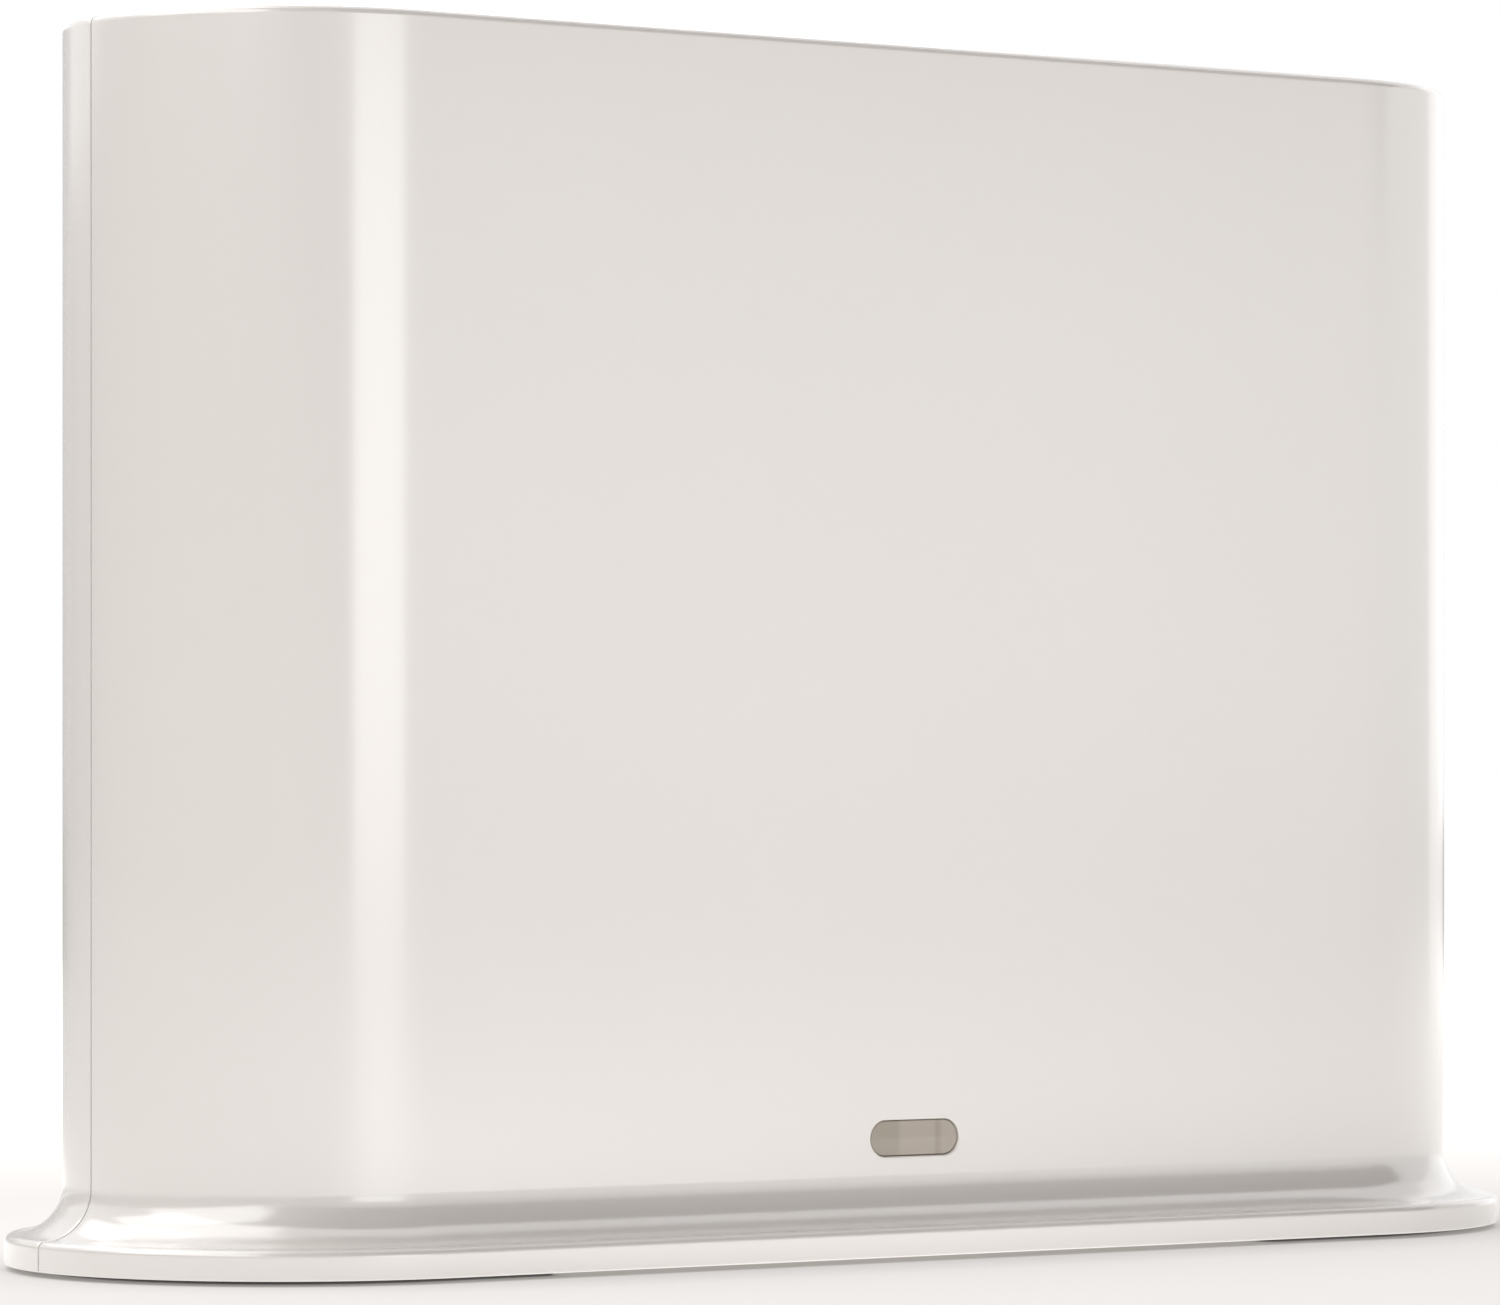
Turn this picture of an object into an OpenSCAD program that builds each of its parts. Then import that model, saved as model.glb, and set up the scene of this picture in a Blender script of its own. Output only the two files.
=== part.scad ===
// Security camera base station: an upright stadium-shaped hub on a flared foot.
// Millimetres, +Z up, front towards -Y, origin on the table under the middle of the foot.

/* [Body] */
// Width of the upright walls
body_w = 163; // [150:0.1:185]
// Depth of the upright walls
body_d = 48; // [46:0.1:56]
// Height from the table to the top face
body_h = 123.4; // [118:0.1:145]
// Wall of both shells
wall = 2; // [1.6:0.1:2.6]
// Rounding of the top edge
top_round = 0.8; // [0.4:0.1:1.5]
// Width of the seam between the shells
seam_gap = 0.2; // [0.1:0.05:0.4]

/* [Foot] */
// Radius of the hollow flare above the rim
flare_r = 5; // [4:0.1:6.5]
// Rounding of the rim's upper edge
rim_round = 0.75; // [0.4:0.05:1.2]
// Height of the rim
rim_h = 3; // [2.6:0.05:3.8]
// Wall of the rim around the base plate
rim_wall = 1.8; // [1.4:0.1:2.2]
// Height at which the pads hold the rim off the table
foot_lift = 0.5; // [0.3:0.05:0.9]
// Thickness of the base plate
plate_t = 1.2; // [1.1:0.05:1.5]
// Width of a foot pad
pad_w = 4; // [3:0.1:5]
// Depth of the pad grooves in the base plate
pad_groove = 0.5; // [0.3:0.05:0.6]
// Distance from the plate's edge to the pads
pad_inset = 1.6; // [1:0.1:2.5]
// Straight length of each pad leg
pad_leg = 14; // [8:1:24]
// Width of a base air slot
vent_w = 2.2; // [1.6:0.1:3]
// Length of a base air slot
vent_len = 18; // [12:1:22]

/* [Status light] */
// Width of the light window
lens_w = 10.75; // [8:0.05:14]
// Height of the light window
lens_h = 3.55; // [3:0.05:5]
// Height of the window's centre above the rim's lower edge
lens_rise = 11.65; // [11:0.05:16]
// How far the window's face sits behind the front wall
lens_inset = 0.2; // [0.05:0.05:0.4]
// Width of the window's flange behind the wall
lens_flange = 1.4; // [1:0.1:2]

/* [Main board] */
// Width of the main board
board_w = 118; // [112:1:124]
// Height of the main board
board_h = 88; // [86:1:100]
// Thickness of the main board
board_t = 1.6; // [1.2:0.1:2]
// Height of the board's lower edge above the base plate
board_lift = 4.3; // [3:0.1:5.5]
// Distance from the board's edges to its screws
board_hole_in = 4; // [3.5:0.1:5]
// Radius of a moulded screw boss
boss_r = 3.2; // [2.8:0.1:3.8]
// Radius of a screw shank
screw_r = 1.25; // [1:0.05:1.5]

/* [Rear panel] */
// Width of the recessed port panel
panel_w = 104; // [100:1:110]
// Height of the recessed port panel
panel_h = 22; // [20:0.5:26]
// Depth of the port panel's recess
panel_recess = 0.8; // [0.4:0.1:1.2]
// Height of the port row above the table
port_z = 25; // [23:0.5:30]
// Length of the sockets from the board to their faces
socket_len = 16.5; // [15:0.1:18]
// Gap between a socket and its cut-out
port_gap = 0.25; // [0.15:0.05:0.4]
// Place of the power inlet
inlet_x = -42; // [-44:0.5:-40]
// Place of the power button
power_x = -27; // [-28:0.5:-26]
// Place of the Ethernet socket
ethernet_x = -6; // [-8:0.5:-4]
// Place of the USB socket
usb_x = 15; // [13:0.5:17]
// Place of the reset pinhole
reset_x = 29; // [27:0.5:31]
// Place of the sync button
sync_x = 42; // [40:0.5:44]
// Radius of the inlet's bore
inlet_bore_r = 3.1; // [2.9:0.05:3.3]
// Radius of the inlet's centre pin
inlet_pin_r = 1.05; // [0.85:0.05:1.25]

/* [Buttons] */
// Radius of the power button
power_r = 4.5; // [4:0.1:5]
// Travel of the power button
power_travel = 2; // [1.5:0.1:2.5]
// Radius of the sync button
sync_r = 4; // [3.5:0.1:4.5]
// Travel of the sync button
sync_travel = 0.4; // [0.3:0.05:0.6]
// Radius of the reset pinhole
reset_hole_r = 1.1; // [0.8:0.05:1.4]
// Travel of the reset plunger
reset_travel = 0.3; // [0.2:0.05:0.4]
// How far the buttons stand out of the recessed panel
button_proud = 0.5; // [0.2:0.05:0.7]
// Gap around a button and a plunger
button_gap = 0.2; // [0.15:0.05:0.3]

/* [Wall hanging] */
// Distance between the keyholes
keyhole_gap = 90; // [86:1:96]
// Height of the keyholes' round entries
keyhole_z = 70; // [66:1:74]
// Radius of a keyhole's round entry
keyhole_r = 4.2; // [3.8:0.1:4.8]
// Width of a keyhole's slot
keyhole_slot = 4.4; // [3.6:0.1:5]
// Rise of a keyhole's slot above its entry
keyhole_rise = 8; // [6:0.5:10]
// Depth of the room behind a keyhole
keyhole_depth = 6; // [4.5:0.5:8]

/* [Siren] */
// Height of the siren's axis
siren_z = 76; // [72:1:84]
// Radius of the siren driver
siren_r = 17; // [15:0.5:18]
// Depth of the siren driver
siren_t = 8; // [6:0.5:9]
// Radius of a grille hole
grille_hole_r = 1; // [0.7:0.05:1.2]
// Distance between the rings of grille holes
grille_step = 3.6; // [3.2:0.1:4]
// Rings of grille holes around the middle one
grille_rings = 3; // [1:1:3]

/* [Cooling] */
// Width of the processor shield
shield_w = 42; // [38:1:44]
// Height of the processor shield
shield_h = 34; // [30:1:36]
// Depth of the shields
shield_d = 3; // [2.6:0.1:3.6]
// Width of the heat sink
sink_w = 58; // [56:1:60]
// Height of the heat sink
sink_h = 46; // [44:1:52]
// Length of the heat sink's fins
fin_len = 8; // [5:0.5:10]
// Distance from the board's upper edge down to the processor's centre
processor_drop = 28; // [26:1:32]

/* [Radio] */
// Place of the radio shield
radio_x = 43; // [42:0.5:45]
// Height of the antenna films
antenna_h = 40; // [30:1:46]
// Height of the antenna films' lower edge
antenna_z = 62; // [58:1:66]
// Angle that an antenna film takes round the end wall
antenna_arc = 50; // [40:1:56]

/* [Hidden] */
$fn = 64;
// Overshoot of every cut, and depth to which a rib sinks into its wall
over = 1;
sink_in = 0.4;

// Plan and heights of the shells
end_x = (body_w - body_d) / 2;
half_d = body_d / 2;
inner_r = half_d - wall;
foot_r = half_d + flare_r + rim_round;
rim_z = foot_lift + rim_h;
arc_z = rim_z + flare_r;
plate_z = foot_lift + plate_t;
ceiling = body_h - wall;

// Base plate, pads and the screws that hold the plate
plate_gap = 0.15;
plate_r = foot_r - rim_wall - plate_gap;
pad_gap = 0.1;
pad_top = foot_lift + pad_groove;
base_boss_r = 3.6;
base_boss_h = 12;
base_boss_in = 6.5;
base_boss_angle = 58;
base_rib_t = 2;
base_screw_len = 9;
flat_head_r = 2.4;
flat_head_gap = 0.1;
thread_gap = 0.05;
vent_step = 6;
vent_side = 7;

// Seam lip and snap hooks along the top
lip_t = 1.2;
lip_gap = 0.25;
lip_root = 6;
lip_reach = 1.6;
hook_w = 8;
hook_x = 40;
hook_t = 1.4;
hook_gap = 0.4;
catch_drop = 1.2;
catch_t = 2;
catch_y = 2.6;
barb_t = 2;
barb_gap = 0.3;

// Rear panel, sockets and board
panel_corner = 4;
panel_margin = 1.5;
panel_out = half_d - panel_recess;
panel_in = panel_out - wall;
socket_inset = 0.4;
socket_face = panel_out - socket_inset;
board_rear = socket_face - socket_len;
board_front = board_rear - board_t;
board_z = plate_z + board_lift;
board_top = board_z + board_h;
board_mid_z = board_z + board_h / 2;
board_hole_gap = 0.2;
pan_head_r = 2.3;
pan_head_h = 1.5;
board_screw_bite = 7;

// Status light
lens_z = foot_lift + lens_rise;
lens_gap = 0.06;
flange_t = 1;
guide_side = 1.3;
guide_h = 2.5;
guide_gap = 0.2;
shroud_wall = 1.1;
led_w = 3.4;
led_h = 2.6;
led_t = 1.2;
led_air = 0.3;

// Chips and cooling, on the front of the board
chip_t = 1.4;
processor_z = board_top - processor_drop;
processor_w = 15;
memory_w = 9;
memory_h = 12;
memory_x = 14;
shield_wall = 0.4;
shield_face = board_front - shield_d;
sink_pad_w = 24;
sink_pad_t = 0.8;
sink_face = shield_face - sink_pad_t;
sink_t = 2;
fin_t = 1.2;
fin_step = 5;
fin_side = 4;
sink_hole_in = 3.2;
radio_w = 20;
radio_h = 26;
radio_chip_w = 9;
radio_drop = 30;
radio_z = board_top - radio_drop;

// Parts on the rear of the board
cap_can_r = 4;
cap_can_h = 11;
cap_can_z = 50;
cap_can_x = [-44, -34];
cap_sleeve_groove = 0.4;
inductor_w = 8;
inductor_t = 4;
inductor_x = -26;
inductor_z = 42;
transformer_w = 9;
transformer_h = 12;
transformer_t = 4.2;
transformer_x = -13;
transformer_z = 46;

// Ethernet socket
jack_w = 16;
jack_h = 13.6;
jack_mouth_w = 11.9;
jack_mouth_h = 6.9;
jack_mouth_rise = 1.2;
jack_depth = 13.5;
latch_w = 6.4;
latch_h = 1.7;
key_w = 3.4;
key_h = 1.3;
contact_w = 0.45;
contact_t = 0.35;
contact_step = 1.02;
contact_fall = 1.9;
contact_front = 2.4;

// USB socket
usb_w = 13.1;
usb_h = 5.7;
usb_wall = 0.4;
usb_fit = 0.04;
usb_base = 5;
usb_tongue_t = 1.9;
usb_tongue_w = 11;
usb_tongue_back = 1.2;
usb_contact_w = 1;
usb_contact_t = 0.15;
usb_contact_len = 7.4;
usb_contact_x = [-3.5, -1, 1, 3.5];

// Power inlet
inlet_w = 10;
inlet_h = 11;
inlet_nose_r = 4.4;
inlet_nose = 4.5;
inlet_depth = 10.5;
inlet_pin_back = 1;

// Switches and buttons
button_flange = 0.9;
button_flange_t = 1;
button_seat = 0.15;
power_switch_w = 8.4;
power_switch_t = 8;
power_plunger_r = 1.6;
power_plunger_out = 3;
power_stem_r = 2.2;
tact_w = 6;
tact_t = 3.5;
tact_plunger_out = 1.5;
sync_stem_r = 1.8;
sync_plunger_r = 1.6;
reset_w = 4.5;
reset_t = 3.2;
reset_plunger_r = 1;
reset_back = 2;
plunger_in = 1.3;
plunger_room = 0.6;

// Wall keyholes
keyhole_x = keyhole_gap / 2;
keyhole_wall = 1.2;
keyhole_side = 3;

// Siren
gasket_t = 1;
gasket_w = 3.5;
siren_front = inner_r - gasket_t;
siren_back = siren_front - siren_t;
siren_mouth_in = 5;
siren_mouth_t = 2;
bracket_t = 1.6;
bracket_hole_in = 8;
siren_ear = 5.5;
siren_ear_r = 3.4;
siren_rib_gap = 0.4;
siren_rib_t = 1.2;
siren_rib_h = 3;
siren_screw_x = siren_r + siren_ear;
siren_screw_bite = 6;
siren_socket_w = 7.5;
siren_socket_h = 5;
siren_socket_t = 5;
siren_socket_top = 52;
wire_r = 0.6;
wire_x = 1.4;
wire_clear = 0.15;
wire_steps = 4;

// Antennas
film_t = 0.3;
film_gap = 0.05;
film_start = 15;
coax_r = 0.6;
coax_clear = 0.1;
plug_r = 1.4;
plug_t = 1.8;
plug_in = 3;
plug_drop = 10;
plug_x = board_w / 2 - plug_in;
plug_z = board_top - plug_drop;
feed_angle = 22;
feed_rise = 8;
coax_track = inner_r - film_gap - film_t - coax_clear - coax_r;

// A stadium in plan, its half-depth r on the shells' two end axes
module stadium(r) {
    square([2 * end_x, 2 * r], center = true);
    for (side = [-1, 1]) translate([side * end_x, 0]) circle(r);
}

// A flat pill with round ends
module pill(w, h) {
    square([w - h, h], center = true);
    for (side = [-1, 1]) translate([side * (w - h) / 2, 0]) circle(h / 2);
}

// A rectangle with round corners
module rounded(w, h, r) {
    square([w - 2 * r, h], center = true);
    square([w, h - 2 * r], center = true);
    for (x = [-1, 1], z = [-1, 1]) translate([x * (w / 2 - r), z * (h / 2 - r)]) circle(r);
}

// An outline drawn in X and Z, extruded from y0 back to y1
module prism_y(y0, y1) {
    translate([0, y1, 0]) rotate([90, 0, 0]) linear_extrude(y1 - y0) children();
}

// A box centred on x and z, from y0 back to y1
module block_y(w, h, y0, y1) {
    prism_y(y0, y1) square([w, h], center = true);
}

// A round rod along Y
module rod_y(r, y0, y1) {
    prism_y(y0, y1) circle(r);
}

// The outer corner left over when an edge at (x, z) is rounded by r
module corner_waste(x, z, r) {
    translate([x - r, z - r]) difference() {
        square(r + over);
        circle(r);
    }
}

// Outline of a shell's section, from the middle plane out to wall, flare and rim
module outer_section() {
    difference() {
        translate([0, foot_lift]) square([foot_r, body_h - foot_lift]);
        translate([half_d, arc_z]) square([foot_r, body_h]);
        translate([half_d + flare_r, arc_z]) circle(flare_r);
        translate([half_d + flare_r, rim_z]) square([foot_r, body_h]);
        corner_waste(foot_r, rim_z, rim_round);
        corner_waste(half_d, body_h, top_round);
    }
}

// Outline of the hollow inside, with the rebate for the base plate
module inner_section() {
    square([inner_r, ceiling]);
    difference() {
        square([half_d + flare_r, arc_z]);
        translate([half_d + flare_r, arc_z]) circle(flare_r + wall);
        translate([inner_r, 0]) square([foot_r, plate_z]);
    }
    square([foot_r - rim_wall, plate_z]);
}

// One half of the hollow body on the -Y side: a straight front and two quarter ends
module half_body() {
    translate([end_x, 0, 0]) rotate([90, 0, -90]) linear_extrude(2 * end_x) shell_section();
    translate([end_x, 0, 0]) rotate([0, 0, -90]) rotate_extrude(angle = 90) shell_section();
    translate([-end_x, 0, 0]) rotate([0, 0, 180]) rotate_extrude(angle = 90) shell_section();
}

module shell_section() {
    difference() {
        outer_section();
        inner_section();
    }
}

// Thin cut that leaves the seam between the shells
module seam_cut() {
    cube([body_w + 2 * foot_r, seam_gap, 3 * body_h], center = true);
}

// Places the children at the two base screws of the shell on one side in Y
module at_base_screws(side_y) {
    for (side_x = [-1, 1])
        translate([side_x * end_x, 0, 0])
            rotate([0, 0, 90 - side_x * (90 - side_y * base_boss_angle)])
                translate([inner_r - base_boss_in, 0, 0]) children();
}

// An upright boss for a base screw, with its rib to the wall
module base_boss() {
    translate([0, 0, plate_z]) cylinder(r = base_boss_r, h = base_boss_h);
    translate([0, -base_rib_t / 2, plate_z + base_boss_h / 3])
        cube([base_boss_in + sink_in, base_rib_t, base_boss_h * 2 / 3]);
}

module base_pilot() {
    translate([0, 0, plate_z - over]) cylinder(r = screw_r + thread_gap, h = base_screw_len + 2 * over);
}

// Lip of the front shell that stands behind the seam at both ends and along the top
module seam_lip() {
    for (side = [-1, 1])
        translate([side * (end_x + inner_r - lip_gap - lip_t / 2), 0, 0])
            translate([-lip_t / 2, -lip_root, arc_z])
                cube([lip_t, lip_root + lip_reach, ceiling - lip_gap - arc_z]);
    translate([-end_x, -lip_root, ceiling - lip_gap - lip_t])
        cube([2 * end_x, lip_root + lip_reach, lip_t]);
    translate([-end_x, -lip_root, ceiling - lip_gap - lip_t])
        cube([2 * end_x, lip_root / 2, lip_gap + lip_t + sink_in]);
}

// Snap hook of the front shell: an arm under the catch and a barb behind it
module snap_hook() {
    arm_top = ceiling - catch_drop - hook_gap;
    barb_y = catch_y + catch_t + barb_gap;
    translate([-hook_w / 2, -lip_root, arm_top - hook_t])
        cube([hook_w, lip_root + barb_y + barb_t, hook_t]);
    translate([-hook_w / 2, -lip_root, arm_top - hook_t])
        cube([hook_w, lip_root / 2, ceiling - arm_top + hook_t + sink_in]);
    translate([-hook_w / 2, barb_y, arm_top - hook_t])
        cube([hook_w, barb_t, ceiling - barb_gap - arm_top + hook_t]);
}

// Catch of the rear shell that the hook's barb sits behind
module snap_catch() {
    translate([-hook_w / 2, catch_y, ceiling - catch_drop])
        cube([hook_w, catch_t, catch_drop + sink_in]);
}

module front_shell() {
    color("white") difference() {
        union() {
            difference() {
                half_body();
                seam_cut();
            }
            at_base_screws(-1) base_boss();
            seam_lip();
            for (side = [-1, 1]) translate([side * hook_x, 0, 0]) snap_hook();
        }
        at_base_screws(-1) base_pilot();
        translate([0, 0, lens_z]) prism_y(-half_d - over, -inner_r + over)
            pill(lens_w + 2 * lens_gap, lens_h + 2 * lens_gap);
    }
}

// Places the children at the board's four corner screws
module at_board_screws() {
    for (x = [-1, 1], z = [-1, 1])
        translate([x * (board_w / 2 - board_hole_in), 0, board_mid_z + z * (board_h / 2 - board_hole_in)])
            children();
}

// Keyhole outline about its round entry, with the slot above it
module keyhole() {
    circle(keyhole_r);
    translate([-keyhole_slot / 2, 0]) square([keyhole_slot, keyhole_rise]);
    translate([0, keyhole_rise]) circle(keyhole_slot / 2);
}

// Outline of the room behind a keyhole, grown by the thickness of its walls for the outside
module keyhole_room(grow) {
    half_w = keyhole_r + keyhole_side + grow;
    low = keyhole_r + keyhole_side / 2 + grow;
    translate([-half_w, -low]) square([2 * half_w, low + keyhole_rise + keyhole_r + grow]);
}

// Rings of round holes in front of the siren
module grille() {
    for (ring = [0 : grille_rings]) {
        count = ring == 0 ? 1 : 6 * ring;
        for (i = [0 : count - 1])
            rotate(360 * i / count) translate([ring * grille_step, 0]) circle(grille_hole_r);
    }
}

// All the openings of the port panel, drawn in X and Z
module port_cuts() {
    translate([inlet_x, port_z]) circle(inlet_nose_r + port_gap);
    translate([power_x, port_z]) circle(power_r + button_gap);
    translate([ethernet_x, port_z]) square([jack_w + 2 * port_gap, jack_h + 2 * port_gap], center = true);
    translate([usb_x, port_z]) square([usb_w + 2 * port_gap, usb_h + 2 * port_gap], center = true);
    translate([reset_x, port_z]) circle(reset_hole_r);
    translate([sync_x, port_z]) circle(sync_r + button_gap);
}

module rear_shell() {
    color("white") difference() {
        union() {
            difference() {
                mirror([0, 1, 0]) half_body();
                seam_cut();
            }
            at_base_screws(1) base_boss();
            for (side = [-1, 1]) translate([side * hook_x, 0, 0]) snap_catch();
            translate([0, 0, port_z]) prism_y(panel_in, inner_r + sink_in)
                rounded(panel_w + 2 * panel_margin, panel_h + 2 * panel_margin, panel_corner + panel_margin);
            at_board_screws() rod_y(boss_r, board_rear, inner_r + sink_in);
            for (side = [-1, 1]) translate([side * keyhole_x, 0, keyhole_z])
                prism_y(inner_r - keyhole_depth - keyhole_wall, inner_r + sink_in) keyhole_room(keyhole_wall);
            translate([0, 0, siren_z]) prism_y(inner_r - siren_rib_h, inner_r + sink_in) difference() {
                circle(siren_r + siren_rib_gap + siren_rib_t);
                circle(siren_r + siren_rib_gap);
            }
            for (side = [-1, 1]) translate([side * siren_screw_x, 0, siren_z])
                rod_y(boss_r, siren_back, inner_r + sink_in);
        }
        translate([0, 0, port_z]) prism_y(panel_out, half_d + over) rounded(panel_w, panel_h, panel_corner);
        prism_y(panel_in - over, half_d + over) port_cuts();
        at_base_screws(1) base_pilot();
        at_board_screws() rod_y(screw_r + thread_gap, board_rear - over, board_rear + board_screw_bite + over);
        for (side = [-1, 1]) translate([side * keyhole_x, 0, keyhole_z]) {
            prism_y(inner_r - over, half_d + over) keyhole();
            prism_y(inner_r - keyhole_depth, inner_r) keyhole_room(0);
        }
        translate([0, 0, siren_z]) prism_y(inner_r - over, half_d + over) grille();
        for (side = [-1, 1]) translate([side * siren_screw_x, 0, siren_z])
            rod_y(screw_r + thread_gap, siren_back - over, siren_back + siren_screw_bite + over);
    }
}

// One foot pad: half a ring round an end axis, with two straight legs
module foot_pad(side, z0, z1, grow) {
    outer = plate_r - pad_inset + grow;
    inner = plate_r - pad_inset - pad_w - grow;
    translate([side * end_x, 0, 0]) {
        rotate([0, 0, -side * 90]) rotate_extrude(angle = 180)
            translate([inner, z0]) square([outer - inner, z1 - z0]);
        for (y = [-outer, inner])
            translate([side > 0 ? -pad_leg - grow : 0, y, z0])
                cube([pad_leg + grow, outer - inner, z1 - z0]);
    }
}

module base_plate() {
    color("gainsboro") difference() {
        translate([0, 0, foot_lift]) linear_extrude(plate_t) stadium(plate_r);
        for (side = [-1, 1]) foot_pad(side, foot_lift - over, pad_top, pad_gap);
        for (side_y = [-1, 1]) at_base_screws(side_y) {
            cylinder(r = screw_r + board_hole_gap, h = plate_z + over);
            translate([0, 0, foot_lift])
                cylinder(r1 = flat_head_r + flat_head_gap, r2 = screw_r + flat_head_gap, h = plate_t);
        }
        for (i = [-vent_side : vent_side])
            translate([i * vent_step, 0, foot_lift - over])
                linear_extrude(plate_t + 2 * over) rotate(90) pill(vent_len, vent_w);
    }
}

module foot_pads() {
    color("dimgray") for (side = [-1, 1]) foot_pad(side, 0, pad_top, 0);
}

// Cross recess in a screw head whose face lies at z = 0, cut upwards
module cross_recess(size, depth) {
    for (turn = [0, 90])
        rotate([0, 0, turn]) translate([-size, -size / 5, -over]) cube([2 * size, size * 2 / 5, depth + over]);
}

// A countersunk screw pointing up, its flat face at z = 0
module flat_screw(head_h, len) {
    difference() {
        union() {
            cylinder(r1 = flat_head_r, r2 = screw_r, h = head_h);
            translate([0, 0, head_h]) cylinder(r = screw_r, h = len);
        }
        cross_recess(screw_r, head_h / 2);
    }
}

// A pan-head screw along +Y, the underside of its head at y = 0
module pan_screw(len) {
    rotate([-90, 0, 0]) difference() {
        union() {
            translate([0, 0, -pan_head_h]) cylinder(r = pan_head_r, h = pan_head_h);
            cylinder(r = screw_r, h = len);
        }
        translate([0, 0, -pan_head_h]) cross_recess(screw_r, pan_head_h / 2);
    }
}

module base_screws() {
    color("silver") for (side_y = [-1, 1])
        at_base_screws(side_y) translate([0, 0, foot_lift]) flat_screw(plate_t, base_screw_len);
}

module status_lens() {
    color("tan") translate([0, 0, lens_z]) {
        prism_y(-half_d + lens_inset, -inner_r) pill(lens_w, lens_h);
        prism_y(-inner_r, -inner_r + flange_t) pill(lens_w + 2 * lens_flange, lens_h + 2 * lens_flange);
    }
}

module light_guide() {
    color("lightcyan") translate([0, 0, lens_z])
        block_y(lens_w - 2 * guide_side, guide_h, -inner_r + flange_t, board_front - led_t - led_air);
}

module light_shroud() {
    hole_w = lens_w - 2 * guide_side + 2 * guide_gap;
    hole_h = guide_h + 2 * guide_gap;
    color("black") translate([0, 0, lens_z]) prism_y(-inner_r + flange_t, board_front) difference() {
        square([hole_w + 2 * shroud_wall, hole_h + 2 * shroud_wall], center = true);
        square([hole_w, hole_h], center = true);
    }
}

module status_led() {
    color("lightyellow") translate([0, 0, lens_z]) block_y(led_w, led_h, board_front - led_t, board_front);
}

// Places the children at the heat sink's two screws, on opposite corners
module at_sink_screws() {
    for (side = [-1, 1])
        translate([side * (sink_w / 2 - sink_hole_in), 0, processor_z + side * (sink_h / 2 - sink_hole_in)])
            children();
}

module main_board() {
    color("darkgreen") difference() {
        translate([0, 0, board_mid_z]) block_y(board_w, board_h, board_front, board_rear);
        at_board_screws() rod_y(screw_r + board_hole_gap, board_front - over, board_rear + over);
        at_sink_screws() rod_y(screw_r + thread_gap, board_front - over, board_rear + over);
    }
}

module board_screws() {
    color("silver") at_board_screws()
        translate([0, board_front, 0]) pan_screw(board_t + board_screw_bite);
}

module processor() {
    color("dimgray") translate([0, 0, processor_z])
        block_y(processor_w, processor_w, board_front - chip_t, board_front);
}

module memory_chips() {
    color("dimgray") for (side = [-1, 1]) translate([side * memory_x, 0, processor_z])
        block_y(memory_w, memory_h, board_front - chip_t, board_front);
}

// Soft pad that fills the room between the processor and its shield
module processor_pad() {
    color("lightsteelblue") translate([0, 0, processor_z])
        block_y(processor_w, processor_w, shield_face + shield_wall, board_front - chip_t);
}

// A thin metal can on the front of the board, open towards it
module shield_can(w, h) {
    difference() {
        block_y(w, h, shield_face, board_front);
        block_y(w - 2 * shield_wall, h - 2 * shield_wall, shield_face + shield_wall, board_front + over);
    }
}

module processor_shield() {
    color("silver") translate([0, 0, processor_z]) shield_can(shield_w, shield_h);
}

module heat_sink_pad() {
    color("lightsteelblue") translate([0, 0, processor_z])
        block_y(sink_pad_w, sink_pad_w, sink_face, shield_face);
}

module heat_sink() {
    color("lightslategray") difference() {
        translate([0, 0, processor_z]) {
            block_y(sink_w, sink_h, sink_face - sink_t, sink_face);
            for (i = [-fin_side : fin_side]) translate([i * fin_step, 0, 0])
                block_y(fin_t, sink_h, sink_face - sink_t - fin_len, sink_face - sink_t + sink_in);
        }
        at_sink_screws() rod_y(screw_r + board_hole_gap, sink_face - sink_t - over, sink_face + over);
    }
}

module heat_sink_screws() {
    color("silver") at_sink_screws() translate([0, sink_face - sink_t, 0])
        pan_screw(board_rear - sink_face + sink_t);
}

module radio_chip() {
    color("dimgray") translate([radio_x, 0, radio_z])
        block_y(radio_chip_w, radio_chip_w, board_front - chip_t, board_front);
}

module radio_shield() {
    color("silver") translate([radio_x, 0, radio_z]) shield_can(radio_w, radio_h);
}

// Upright cans on the rear of the board, with the pressed groove near their foot
module capacitors() {
    color("slategray") for (x = cap_can_x) translate([x, board_rear, cap_can_z]) rotate([-90, 0, 0])
        difference() {
            cylinder(r = cap_can_r, h = cap_can_h);
            translate([0, 0, cap_can_h / 6]) rotate_extrude()
                translate([cap_can_r, 0]) circle(cap_sleeve_groove);
        }
}

module power_inductor() {
    color("dimgray") translate([inductor_x, 0, inductor_z])
        prism_y(board_rear, board_rear + inductor_t) rounded(inductor_w, inductor_w, inductor_w / 6);
}

module ethernet_transformer() {
    color("black") translate([transformer_x, 0, transformer_z])
        block_y(transformer_w, transformer_h, board_rear, board_rear + transformer_t);
}

// Mouth of the Ethernet socket, with the stepped channel for the plug's latch below it
module jack_mouth() {
    translate([0, jack_mouth_rise]) square([jack_mouth_w, jack_mouth_h], center = true);
    low = jack_mouth_rise - jack_mouth_h / 2;
    translate([-latch_w / 2, low - latch_h]) square([latch_w, latch_h + over]);
    translate([-key_w / 2, low - latch_h - key_h]) square([key_w, key_h + over]);
}

module ethernet_jack() {
    color("dimgray") translate([ethernet_x, 0, port_z]) difference() {
        block_y(jack_w, jack_h, board_rear, socket_face);
        prism_y(socket_face - jack_depth, socket_face + over) jack_mouth();
    }
}

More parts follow.
